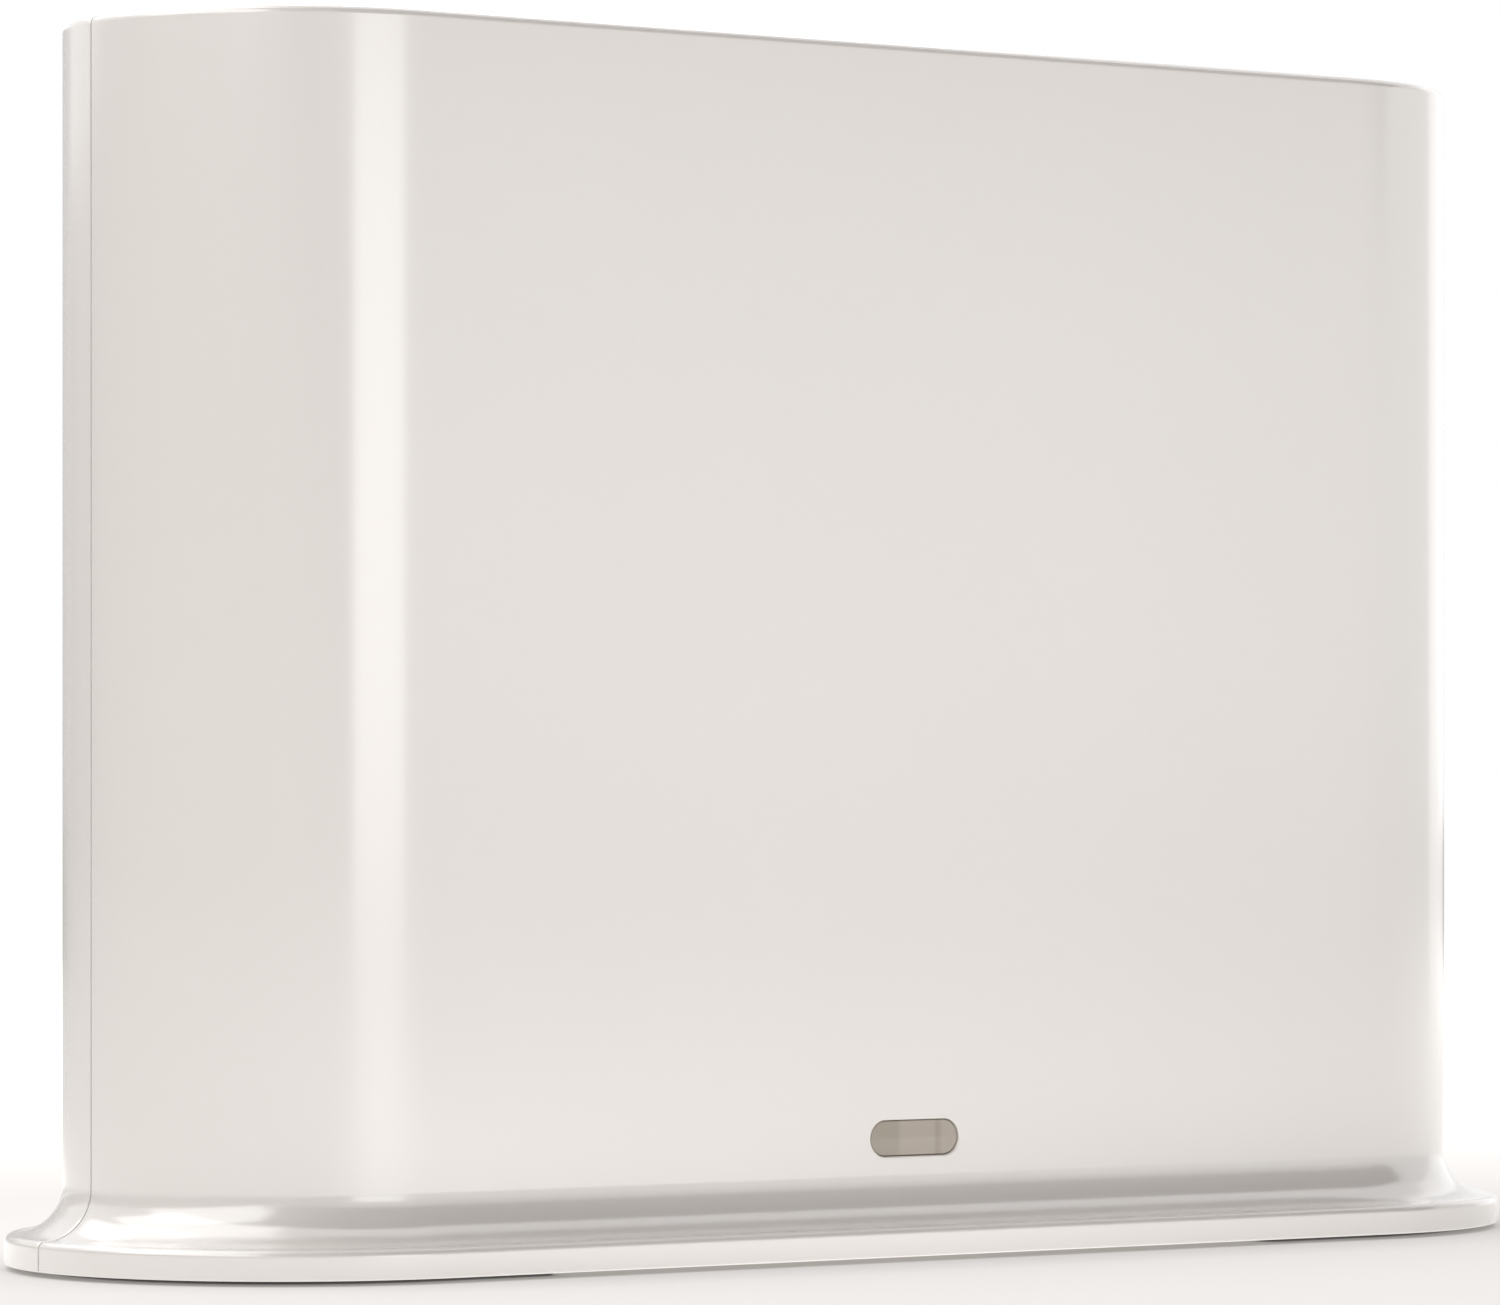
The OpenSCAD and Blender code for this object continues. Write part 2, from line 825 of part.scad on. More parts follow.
// Eight bent springs under the roof of the mouth, each running forward and folding back
module ethernet_contacts() {
    roof = port_z + jack_mouth_rise + jack_mouth_h / 2;
    back = socket_face - jack_depth;
    front = socket_face - contact_front;
    color("gold") for (i = [0 : 7])
        translate([ethernet_x + (i - 3.5) * contact_step - contact_w / 2, 0, 0])
            rotate([90, 0, 90]) linear_extrude(contact_w) polygon([
                [back, roof], [front, roof], [front, roof - contact_t],
                [back + contact_front, roof - contact_fall],
                [back + contact_front, roof - contact_fall + contact_t],
                [front - contact_front, roof - contact_t], [back, roof - contact_t]
            ]);
}

module usb_shell() {
    color("silver") translate([usb_x, 0, port_z]) prism_y(board_rear, socket_face) difference() {
        square([usb_w, usb_h], center = true);
        square([usb_w - 2 * usb_wall, usb_h - 2 * usb_wall], center = true);
    }
}

module usb_tongue() {
    base_w = usb_w - 2 * usb_wall - 2 * usb_fit;
    base_h = usb_h - 2 * usb_wall - 2 * usb_fit;
    color("black") translate([usb_x, 0, port_z]) {
        block_y(base_w, base_h, board_rear, board_rear + usb_base);
        translate([0, 0, (base_h - usb_tongue_t) / 2])
            block_y(usb_tongue_w, usb_tongue_t, board_rear + usb_base, socket_face - usb_tongue_back);
    }
}

module usb_contacts() {
    face = port_z + usb_h / 2 - usb_wall - usb_fit - usb_tongue_t;
    color("gold") for (x = usb_contact_x) translate([usb_x + x, 0, face - usb_contact_t / 2])
        block_y(usb_contact_w, usb_contact_t, board_rear + usb_base, board_rear + usb_base + usb_contact_len);
}

module power_inlet() {
    color("black") translate([inlet_x, 0, port_z]) difference() {
        union() {
            block_y(inlet_w, inlet_h, board_rear, socket_face - inlet_nose);
            rod_y(inlet_nose_r, socket_face - inlet_nose - sink_in, socket_face);
        }
        rod_y(inlet_bore_r, socket_face - inlet_depth, socket_face + over);
    }
}

module inlet_pin() {
    color("silver") translate([inlet_x, 0, port_z])
        rod_y(inlet_pin_r, socket_face - inlet_depth, socket_face - inlet_pin_back);
}

// A round cap with a flange behind the panel and a stem down to its plunger
module button_cap(r, stem_r, stem_end) {
    flange_y = panel_in - button_seat;
    rod_y(r, flange_y - button_flange_t / 2, panel_out + button_proud);
    rod_y(r + button_flange, flange_y - button_flange_t, flange_y);
    rod_y(stem_r, stem_end, flange_y - button_flange_t / 2);
}

// A square switch body on the rear of the board, with the bore of its plunger
module switch_body(w, t, plunger_r, travel) {
    difference() {
        block_y(w, w, board_rear, board_rear + t);
        rod_y(plunger_r + button_gap, board_rear + t - plunger_in - travel - plunger_room,
            board_rear + t + over);
    }
}

module power_button() {
    color("whitesmoke") translate([power_x, 0, port_z])
        button_cap(power_r, power_stem_r, board_rear + power_switch_t + power_plunger_out);
}

module power_plunger() {
    color("ivory") translate([power_x, 0, port_z])
        rod_y(power_plunger_r, board_rear + power_switch_t - plunger_in,
            board_rear + power_switch_t + power_plunger_out);
}

module power_switch() {
    color("dimgray") translate([power_x, 0, port_z])
        switch_body(power_switch_w, power_switch_t, power_plunger_r, power_travel);
}

module sync_button() {
    color("whitesmoke") translate([sync_x, 0, port_z])
        button_cap(sync_r, sync_stem_r, board_rear + tact_t + tact_plunger_out);
}

module sync_plunger() {
    color("ivory") translate([sync_x, 0, port_z])
        rod_y(sync_plunger_r, board_rear + tact_t - plunger_in, board_rear + tact_t + tact_plunger_out);
}

module sync_switch() {
    color("dimgray") translate([sync_x, 0, port_z])
        switch_body(tact_w, tact_t, sync_plunger_r, sync_travel);
}

module reset_plunger() {
    color("ivory") translate([reset_x, 0, port_z])
        rod_y(reset_plunger_r, board_rear + reset_t - plunger_in, panel_in - reset_back);
}

module reset_switch() {
    color("dimgray") translate([reset_x, 0, port_z])
        switch_body(reset_w, reset_t, reset_plunger_r, reset_travel);
}

module siren_gasket() {
    color("dimgray") translate([0, 0, siren_z]) prism_y(siren_front, inner_r) difference() {
        circle(siren_r);
        circle(siren_r - gasket_w);
    }
}

module siren_driver() {
    color("black") translate([0, 0, siren_z]) difference() {
        rod_y(siren_r, siren_back, siren_front);
        rod_y(siren_r - siren_mouth_in, siren_front - siren_mouth_t, siren_front + over);
    }
}

// Clamp ring over the back of the driver, with an ear on each boss
module siren_bracket() {
    color("gainsboro") translate([0, 0, siren_z]) prism_y(siren_back - bracket_t, siren_back) difference() {
        union() {
            circle(siren_r);
            square([2 * siren_screw_x, 2 * siren_ear_r], center = true);
            for (side = [-1, 1]) translate([side * siren_screw_x, 0]) circle(siren_ear_r);
        }
        circle(siren_r - bracket_hole_in);
        for (side = [-1, 1]) translate([side * siren_screw_x, 0]) circle(screw_r + board_hole_gap);
    }
}

module siren_screws() {
    color("silver") for (side = [-1, 1])
        translate([side * siren_screw_x, siren_back - bracket_t, siren_z])
            pan_screw(bracket_t + siren_screw_bite);
}

module siren_socket() {
    color("ivory") translate([0, 0, siren_socket_top - siren_socket_h / 2])
        block_y(siren_socket_w, siren_socket_h, board_rear, board_rear + siren_socket_t);
}

// Smooth curve through hand-set points, sampled between each pair
function bend(p, i, t) = let (
    a = p[max(i - 1, 0)], b = p[i], c = p[i + 1], d = p[min(i + 2, len(p) - 1)]
) 0.5 * (2 * b + (c - a) * t + (2 * a - 5 * b + 4 * c - d) * t * t + (3 * b - a - 3 * c + d) * t * t * t);
function route(p, steps) = [
    for (i = [0 : len(p) - 2], s = [0 : steps - 1]) bend(p, i, s / steps), p[len(p) - 1]
];
function unit(v) = v / norm(v);

// Round lead along a route, its rings turned about an axis that the route never follows
module lead(p, r, axis) {
    sides = 8;
    last = len(p) - 1;
    along = [for (i = [0 : last]) unit(p[min(i + 1, last)] - p[max(i - 1, 0)])];
    rings = [
        for (i = [0 : last]) let (u = unit(cross(along[i], axis)), v = cross(along[i], u))
            for (k = [0 : sides - 1]) p[i] + r * (cos(360 * k / sides) * u + sin(360 * k / sides) * v)
    ];
    sleeve = [
        for (i = [0 : last - 1], k = [0 : sides - 1]) let (a = i * sides + k, b = i * sides + (k + 1) % sides)
            each [[a, b, b + sides], [a, b + sides, a + sides]]
    ];
    caps = [
        for (k = [1 : sides - 2]) each [[0, k + 1, k], [last * sides, last * sides + k, last * sides + k + 1]]
    ];
    polyhedron(rings, concat(sleeve, caps));
}

// Two wires from the foot of the driver down to the top of the socket
module siren_lead() {
    top = siren_z - siren_r - wire_clear;
    low = siren_socket_top + wire_clear;
    mid_y = siren_back + siren_t / 2;
    end_y = board_rear + siren_socket_t / 2;
    points = [
        [0, mid_y, top], [0, mid_y, top - 1.2], [0, (mid_y + end_y) / 2, (top + low) / 2],
        [0, end_y, low + 1.2], [0, end_y, low]
    ];
    color("firebrick") for (side = [-1, 1])
        translate([side * wire_x, 0, 0]) lead(route(points, wire_steps), wire_r, [1, 0, 0]);
}

// Thin film on the inside of the rear shell's end wall
module antenna(side) {
    track = inner_r - film_gap - film_t;
    translate([side * end_x, 0, 0])
        rotate([0, 0, side > 0 ? film_start : 180 - film_start - antenna_arc])
            rotate_extrude(angle = antenna_arc) translate([track, antenna_z]) square([film_t, antenna_h]);
}

module antenna_left() {
    color("goldenrod") antenna(-1);
}

module antenna_right() {
    color("goldenrod") antenna(1);
}

module antenna_sockets() {
    color("gold") for (side = [-1, 1]) translate([side * plug_x, 0, plug_z])
        rod_y(plug_r, board_front - plug_t, board_front);
}

// Coaxial lead from the film's feed point, round the board's edge, up into its plug from below
module antenna_lead(side) {
    feed_z = antenna_z + feed_rise;
    lead_y = board_front - plug_t / 2;
    points = [
        [end_x + coax_track * cos(feed_angle), coax_track * sin(feed_angle), feed_z],
        [end_x + coax_track * cos(feed_angle) - 0.4, coax_track * sin(feed_angle) - 0.4, feed_z - 4],
        [board_w / 2 + 12, lead_y + 1.5, feed_z - 10],
        [board_w / 2 + 4, lead_y - 0.6, feed_z - 9],
        [plug_x + 1.5, lead_y - 0.3, feed_z - 2],
        [plug_x, lead_y, plug_z - plug_r - 4],
        [plug_x, lead_y, plug_z - plug_r - coax_clear]
    ];
    mirror([side < 0 ? 1 : 0, 0, 0]) lead(route(points, wire_steps), coax_r, [0, 1, 0]);
}

module antenna_lead_left() {
    color("dimgray") antenna_lead(-1);
}

module antenna_lead_right() {
    color("dimgray") antenna_lead(1);
}

front_shell();
rear_shell();
base_plate();
foot_pads();
base_screws();
status_lens();
light_guide();
light_shroud();
status_led();
main_board();
board_screws();
processor();
memory_chips();
processor_pad();
processor_shield();
heat_sink_pad();
heat_sink();
heat_sink_screws();
radio_chip();
radio_shield();
capacitors();
power_inductor();
ethernet_transformer();
ethernet_jack();
ethernet_contacts();
usb_shell();
usb_tongue();
usb_contacts();
power_inlet();
inlet_pin();
power_button();
power_plunger();
power_switch();
sync_button();
sync_plunger();
sync_switch();
reset_plunger();
reset_switch();
siren_gasket();
siren_driver();
siren_bracket();
siren_screws();
siren_socket();
siren_lead();
antenna_left();
antenna_right();
antenna_sockets();
antenna_lead_left();
antenna_lead_right();
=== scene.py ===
import bmesh
import bpy
import numpy as np
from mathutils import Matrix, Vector


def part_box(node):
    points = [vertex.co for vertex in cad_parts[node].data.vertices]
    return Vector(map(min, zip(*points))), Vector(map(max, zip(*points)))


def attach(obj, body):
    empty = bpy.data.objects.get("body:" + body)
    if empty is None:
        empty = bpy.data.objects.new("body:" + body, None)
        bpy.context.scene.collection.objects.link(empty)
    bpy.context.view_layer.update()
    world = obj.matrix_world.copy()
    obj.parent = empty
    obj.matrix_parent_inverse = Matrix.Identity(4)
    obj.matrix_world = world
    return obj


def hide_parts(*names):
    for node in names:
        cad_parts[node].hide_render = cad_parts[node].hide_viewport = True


# Looks of an upright camera hub: a glossy white clamshell on a flared foot, with a small status light.
# The file follows the hub as it is put together, from the rear shell to the foot pads. Sizes are metres.
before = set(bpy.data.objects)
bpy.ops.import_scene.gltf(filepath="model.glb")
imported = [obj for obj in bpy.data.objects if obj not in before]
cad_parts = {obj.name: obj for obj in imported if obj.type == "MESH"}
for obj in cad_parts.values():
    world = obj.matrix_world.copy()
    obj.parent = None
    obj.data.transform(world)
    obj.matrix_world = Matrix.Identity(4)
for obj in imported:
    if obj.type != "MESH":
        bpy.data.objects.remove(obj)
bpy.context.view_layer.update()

# Rear shell. Half of the clamshell, injection moulded in glossy warm white plastic, with its share of the
# flared foot. It has the sunk port panel, the siren grille and two wall keyholes, and bosses inside for the
# pieces that it carries.
rear_low, rear_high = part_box("rear_shell")
shell_top = rear_high.z
foot_r = rear_high.y
end_x = rear_high.x - foot_r
foot_lift = rear_low.z
half_seam = rear_low.y
half_depth = 0.024
shell_wall = 0.002
inner_r = half_depth - shell_wall
ceiling = shell_top - shell_wall
in_roof = shell_top - shell_wall / 2
top_round = 0.0008
rim_round = 0.00075
rim_height = 0.003
rim_top = foot_lift + rim_height
rim_wall = 0.0018
flare_r = foot_r - rim_round - half_depth
flare_z = rim_top + flare_r
plate_rebate = 0.0012
plate_top = foot_lift + plate_rebate
seam_round = 0.00012
heel_round = 2 * seam_round
rib_sink = 0.0004


def arc(x, z, radius, start, end, count):
    """Points of a circular arc about (x, z), from one angle to another in degrees."""
    turn = np.radians(np.linspace(start, end, count))
    return np.column_stack((x + radius * np.cos(turn), z + radius * np.sin(turn)))


def shell_section():
    """Closed section of a shell as distances from the middle plane and heights, and which points are outer.

    Outside it goes from the seam over the top edge, down the wall, round the flare and the rim to the table.
    Inside it comes back up the rebate for the base plate and the inner wall to the ceiling.
    """
    outer = np.vstack((
        arc(half_seam + seam_round, shell_top - seam_round, seam_round, 180, 90, 5),
        arc(half_depth - top_round, shell_top - top_round, top_round, 90, 0, 13),
        arc(half_depth + flare_r, flare_z, flare_r, 180, 270, 45),
        arc(foot_r - rim_round, rim_top - rim_round, rim_round, 90, 0, 17),
        arc(foot_r - heel_round, foot_lift + heel_round, heel_round, 0, -90, 6),
    ))
    flare_end = 180 + np.degrees(np.arcsin((flare_z - plate_top) / (flare_r + shell_wall)))
    inner = np.vstack((
        [[foot_r - rim_wall, foot_lift], [foot_r - rim_wall, plate_top]],
        arc(half_depth + flare_r, flare_z, flare_r + shell_wall, flare_end, 180, 20),
        [[inner_r, ceiling], [half_seam, ceiling]],
    ))
    return np.vstack((outer, inner)), np.arange(len(outer) + len(inner)) < len(outer)


def join_grid(grid, loop=False):
    """Points and faces of a grid whose rows are closed rings. Each face joins four neighbours.

    The first and last ring get one face each, unless the rows close into a loop.
    """
    index = np.arange(grid.shape[0] * grid.shape[1]).reshape(grid.shape[:2])
    rows = np.vstack((index, index[:1])) if loop else index
    beside = np.roll(rows, -1, axis=1)
    faces = np.stack((rows[:-1], beside[:-1], beside[1:], rows[1:]), axis=-1).reshape(-1, 4).tolist()
    ends = [] if loop else [index[0].tolist(), index[-1].tolist()]
    return grid.reshape(-1, 3), faces + ends


def half_shell(side):
    """The section carried along a half stadium on one side in Y, as points and faces.

    A point r from the spine starts at the angle asin(seam / r), so both ends lie in the seam's plane.
    Next to the seam the outer points are drawn in by e - sqrt(e^2 - (e - d)^2), a quarter round of radius e.
    """
    section, outside = shell_section()
    distance, height = section.T
    tangent = np.roll(section, -1, axis=0) - np.roll(section, 1, axis=0)
    tangent /= np.linalg.norm(tangent, axis=1, keepdims=True)
    way = np.column_stack((-tangent[:, 1], tangent[:, 0])) * outside[:, None]
    from_seam = seam_round * np.array([0.0, 0.12, 0.35, 0.65, 1.0])
    drawn_in = seam_round - np.sqrt(seam_round**2 - (seam_round - from_seam) ** 2)
    near = np.arcsin(np.clip((half_seam + from_seam[:, None]) / distance, 0, 1))
    steps = np.linspace(0, 1, 49)[1:, None]
    turn = np.vstack((near, near[-1] + (np.pi / 2 - near[-1]) * steps))
    inset = np.concatenate((drawn_in, np.zeros(len(steps))))[:, None]
    reach = distance - inset * way[:, 0]
    level = height - inset * way[:, 1]
    left = np.stack((-end_x - reach * np.cos(turn), side * reach * np.sin(turn), level), axis=-1)
    right = left[::-1] * (-1, 1, 1)
    return join_grid(np.concatenate((left, right)))


def new_piece(name, *solids):
    """A mesh object made of closed solids, each given as points and faces, with doubles merged."""
    starts = np.cumsum([0] + [len(points) for points, _ in solids])
    points = np.vstack([p for p, _ in solids])
    faces = [[i + start for i in face] for (_, fs), start in zip(solids, starts) for face in fs]
    mesh = bpy.data.meshes.new(name)
    mesh.from_pydata(points.tolist(), [], faces)
    edit = bmesh.new()
    edit.from_mesh(mesh)
    bmesh.ops.remove_doubles(edit, verts=edit.verts, dist=1e-7)
    bmesh.ops.dissolve_degenerate(edit, edges=edit.edges, dist=1e-8)
    bmesh.ops.recalc_face_normals(edit, faces=edit.faces)
    edit.to_mesh(mesh)
    edit.free()
    piece = bpy.data.objects.new(name, mesh)
    bpy.context.scene.collection.objects.link(piece)
    return piece


def combine(piece, operation, *solids):
    """Adds solids to a piece (UNION) or cuts them out of it (DIFFERENCE)."""
    tool = new_piece("tool", *solids)
    change = piece.modifiers.new(operation, "BOOLEAN")
    change.operation = operation
    change.solver = "EXACT"
    change.use_self = operation == "UNION"
    change.object = tool
    done = bpy.data.meshes.new_from_object(piece.evaluated_get(bpy.context.evaluated_depsgraph_get()))
    piece.modifiers.clear()
    piece.data = done
    bpy.data.objects.remove(tool)


def round_outline(x, z, width, height, corner, count=8):
    """Outline of a rectangle with round corners about (x, z), and the way outwards at each point.

    Each point is a corner's centre plus the corner radius times its way, so a pill or a circle is one too.
    """
    turn = np.radians(np.concatenate([np.linspace(a, a + 90, count) for a in (0, 90, 180, 270)]))
    ways = np.column_stack((np.cos(turn), np.sin(turn)))
    signs = np.repeat([(1, 1), (-1, 1), (-1, -1), (1, -1)], count, axis=0)
    centres = (x, z) + signs * (width / 2 - corner, height / 2 - corner)
    return centres + corner * ways, ways


def disc(x, z, radius, count=16):
    """Outline of a circle."""
    return round_outline(x, z, 2 * radius, 2 * radius, radius, count)


def carry(outline, grow, depth, upright=False, loop=False):
    """An outline carried along a profile: each ring is the outline moved outwards by grow, at its own depth.

    The depth is along Y and the outline in X and Z, or upright along Z with the outline in X and Y.
    """
    points, ways = outline
    grow, depth = np.broadcast_arrays(np.asarray(grow, float), np.asarray(depth, float))
    rings = points + grow[:, None, None] * ways
    level = np.broadcast_to(depth[:, None], rings.shape[:2])
    order = (rings[..., 0], rings[..., 1], level) if upright else (rings[..., 0], level, rings[..., 1])
    return join_grid(np.stack(order, axis=-1), loop)


def hole(outline, face, back, lip, upright=False):
    """Cutter of a moulded hole from its back to its face, which a quarter round of radius lip opens out."""
    turn = np.linspace(0, np.pi / 2, 7)
    out = np.sign(face - back)
    proud = 0.02
    grow = np.concatenate(([0], lip * (1 - np.cos(turn)), [lip]))
    depth = np.concatenate(([back], face - out * lip * (1 - proud - np.sin(turn)), [face + out * shell_wall]))
    return carry(outline, grow, depth, upright)


def block(low, high):
    """A box between two corners."""
    middle = (np.asarray(low) + high) / 2
    size = np.asarray(high) - low
    return carry(round_outline(middle[0], middle[2], size[0], size[2], 0, 1), 0, (low[1], high[1]))


def slab(points, low, high):
    """A flat outline in Y and Z carried along X."""
    outline = np.array(points)
    rings = np.broadcast_to(outline, (2, *outline.shape))
    across = np.broadcast_to(np.array((low, high))[:, None], rings.shape[:2])
    return join_grid(np.stack((across, rings[..., 0], rings[..., 1]), axis=-1))


pilot_r = 0.0013
boss_r = 0.0032


def boss(x, z, radius, mouth, bottom, foot, upright=False):
    """A round boss: from the bottom of its pilot hole out to the mouth, then down its side to the foot."""
    wall = radius - pilot_r
    return carry(disc(x, z, pilot_r), (0, 0, wall, wall), (bottom, mouth, mouth, foot), upright)


base_boss_r = 0.0036
base_boss_way = np.radians(58)
base_boss_inset = 0.0065
base_boss_out = inner_r - base_boss_inset
base_boss_top = plate_top + 0.012
base_pilot_top = plate_top + 0.01
base_rib_half = 0.001
base_rib_rise = (plate_top + 0.004, plate_top + 0.0115)


def base_bosses(side):
    """The two bosses for base screws on one side in Y, each with a rib out to the end wall."""
    solids = []
    for end in (-1, 1):
        out = np.array((end * np.cos(base_boss_way), side * np.sin(base_boss_way)))
        across = np.array((-out[1], out[0])) * base_rib_half
        centre = (end * end_x, 0) + base_boss_out * out
        solids.append(boss(*centre, base_boss_r, plate_top, base_pilot_top, base_boss_top, upright=True))
        root = centre + out * boss_r
        tip = centre + out * (base_boss_inset + rib_sink)
        rib = np.array((root - across, tip - across, tip + across, root + across))
        solids.append(carry((rib, rib * 0), 0, base_rib_rise, upright=True))
    return solids


panel_z = 0.025
panel_width = 0.104
panel_height = 0.022
panel_corner = 0.004
panel_frame = 0.0015
panel_sink = 0.0008
panel_face = half_depth - panel_sink
panel_back = panel_face - shell_wall
board_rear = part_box("main_board")[1].y
board_boss_x = 0.055
board_boss_z = (0.010, 0.090)
board_pilot = 0.008
keyhole_x = 0.045
keyhole_z = 0.070
keyhole_r = 0.0042
keyhole_slot = 0.0022
keyhole_rise = 0.008
keyhole_deep = 0.006
keyhole_back = inner_r - keyhole_deep
keyhole_beside = 0.003
keyhole_below = 0.0015
keyhole_wall = 0.0012
siren_z = 0.076
siren_boss_x = 0.0225
siren_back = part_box("siren_driver")[0].y
siren_pilot = 0.007
siren_ring_r = 0.0174
siren_ring_wall = 0.0012
siren_ring_rise = 0.003
grille_pitch = 0.0036
grille_hole_r = 0.001
grille_lip = 0.00025
hook_x = 0.04
hook_half = 0.004
catch_near = 0.0026
catch_far = 0.0046
catch_low = ceiling - 0.0012
wall_root = inner_r + rib_sink
wall_cut = inner_r - 0.0005
mould_lip = 0.0003


def keyhole(x):
    """Keyhole outline: a round entry, and a slot above it that ends in a half circle."""
    meet = np.degrees(np.arccos(keyhole_slot / keyhole_r))
    entry = arc(0, 0, keyhole_r, 180 - meet, 360 + meet, 33)
    top = arc(0, keyhole_rise, keyhole_slot, 0, 180, 17)
    ways = np.vstack((entry / keyhole_r, (top - (0, keyhole_rise)) / keyhole_slot))
    return np.vstack((entry, top)) + (x, keyhole_z), ways


def keyhole_room(x, grow, near, far):
    """The room behind a keyhole, grown by its walls for the outside."""
    half = keyhole_r + keyhole_beside + grow
    low = keyhole_z - keyhole_r - keyhole_below - grow
    high = keyhole_z + keyhole_rise + keyhole_r + grow
    return block((x - half, near, low), (x + half, far, high))


def grille():
    """Cutters of the siren grille: rings of 1, 6, 12 and 18 round holes about its middle."""
    solids = []
    for ring in range(4):
        count = max(1, 6 * ring)
        turn = 2 * np.pi * np.arange(count) / count
        centres = np.column_stack((np.cos(turn), np.sin(turn))) * ring * grille_pitch + (0, siren_z)
        solids += [hole(disc(x, z, grille_hole_r, 7), half_depth, wall_cut, grille_lip) for x, z in centres]
    return solids


rear_shell = new_piece("rear_shell_skin", half_shell(1))
panel = round_outline(0, panel_z, panel_width, panel_height, panel_corner)
catch = ((catch_near, catch_low), (catch_far, catch_low), (catch_far, in_roof), (catch_near, in_roof))
ring_grow = (0, 0, siren_ring_wall, siren_ring_wall)
ring_depth = (inner_r - siren_ring_rise, wall_root, wall_root, inner_r - siren_ring_rise)
inside = base_bosses(1)
inside.append(carry(panel, panel_frame, (panel_back, wall_root)))
inside += [boss(x, z, boss_r, board_rear, board_rear + board_pilot, wall_root)
           for x in (-board_boss_x, board_boss_x) for z in board_boss_z]
inside.append(carry(disc(0, siren_z, siren_ring_r, 24), ring_grow, ring_depth, loop=True))
for side in (-1, 1):
    inside.append(boss(side * siren_boss_x, siren_z, boss_r, siren_back, siren_back + siren_pilot, wall_root))
    inside.append(keyhole_room(side * keyhole_x, keyhole_wall, keyhole_back - keyhole_wall, wall_root))
    inside.append(slab(catch, side * hook_x - hook_half, side * hook_x + hook_half))
combine(rear_shell, "UNION", *inside)
combine(rear_shell, "DIFFERENCE",
        *[keyhole_room(x, 0, keyhole_back, inner_r) for x in (-keyhole_x, keyhole_x)])
combine(rear_shell, "DIFFERENCE", *grille(), hole(panel, half_depth, panel_face, mould_lip),
        *[hole(keyhole(x), half_depth, wall_cut, mould_lip) for x in (-keyhole_x, keyhole_x)])
inlet_x = -0.042
power_x = -0.027
ethernet_x = -0.006
usb_x = 0.015
reset_x = 0.029
sync_x = 0.042
inlet_hole_r = 0.00465
power_hole_r = 0.0047
reset_hole_r = 0.0011
sync_hole_r = 0.0042
ethernet_port = {"width": 0.0165, "height": 0.0141, "corner": 0.0005}
usb_port = {"width": 0.0136, "height": 0.0062, "corner": 0.0007}
port_cut = panel_back - 0.001
port_lip = 0.0002
ports = [disc(x, panel_z, radius, 20) for x, radius in (
    (inlet_x, inlet_hole_r), (power_x, power_hole_r), (reset_x, reset_hole_r), (sync_x, sync_hole_r))]
ports.append(round_outline(ethernet_x, panel_z, **ethernet_port))
ports.append(round_outline(usb_x, panel_z, **usb_port))
combine(rear_shell, "DIFFERENCE", *[hole(port, panel_face, port_cut, port_lip) for port in ports])


def smooth(piece, angle=35):
    """Smooth shading, sharp past an angle. Large faces lead the normals, so flat walls stay flat."""
    piece.data.shade_smooth()
    piece.data.set_sharp_from_angle(angle=np.radians(angle))
    weigh = piece.modifiers.new("weighted normals", "WEIGHTED_NORMAL")
    weigh.keep_sharp = True
    weigh.mode = "FACE_AREA"


def finish_nodes(name):
    """A new material, its node tree, its shader and a socket that gives Object coordinates."""
    material = bpy.data.materials.new(name)
    material.use_nodes = True
    tree = material.node_tree
    place = tree.nodes.new("ShaderNodeTexCoord").outputs["Object"]
    return material, tree, tree.nodes["Principled BSDF"], place


def grain(tree, place, scale, detail=3.0, stretch=(1, 1, 1)):
    """Noise over a piece. The scale is lumps per metre, and stretch draws them out along an axis."""
    mapping = tree.nodes.new("ShaderNodeMapping")
    mapping.inputs["Scale"].default_value = stretch
    noise = tree.nodes.new("ShaderNodeTexNoise")
    noise.inputs["Scale"].default_value = scale
    noise.inputs["Detail"].default_value = detail
    tree.links.new(place, mapping.inputs["Vector"])
    tree.links.new(mapping.outputs["Vector"], noise.inputs["Vector"])
    return noise.outputs["Fac"]


def between(tree, amount, low, high, start=0.3, end=0.7):
    """A value that runs from low to high while the amount runs from start to end."""
    spread = tree.nodes.new("ShaderNodeMapRange")
    for socket, value in (("From Min", start), ("From Max", end), ("To Min", low), ("To Max", high)):
        spread.inputs[socket].default_value = value
    tree.links.new(amount, spread.inputs["Value"])
    return spread.outputs["Result"]


def tint(tree, amount, first, second):
    """A colour between two, by an amount from 0 to 1."""
    mix = tree.nodes.new("ShaderNodeMix")
    mix.data_type = "RGBA"
    mix.inputs["A"].default_value = (*first, 1)
    mix.inputs["B"].default_value = (*second, 1)
    tree.links.new(amount, mix.inputs["Factor"])
    return mix.outputs["Result"]


def relief(tree, shader, height, depth):
    """Fine relief on a surface, as deep as its height says."""
    bump = tree.nodes.new("ShaderNodeBump")
    bump.inputs["Distance"].default_value = depth
    tree.links.new(height, bump.inputs["Height"])
    tree.links.new(bump.outputs["Normal"], shader.inputs["Normal"])


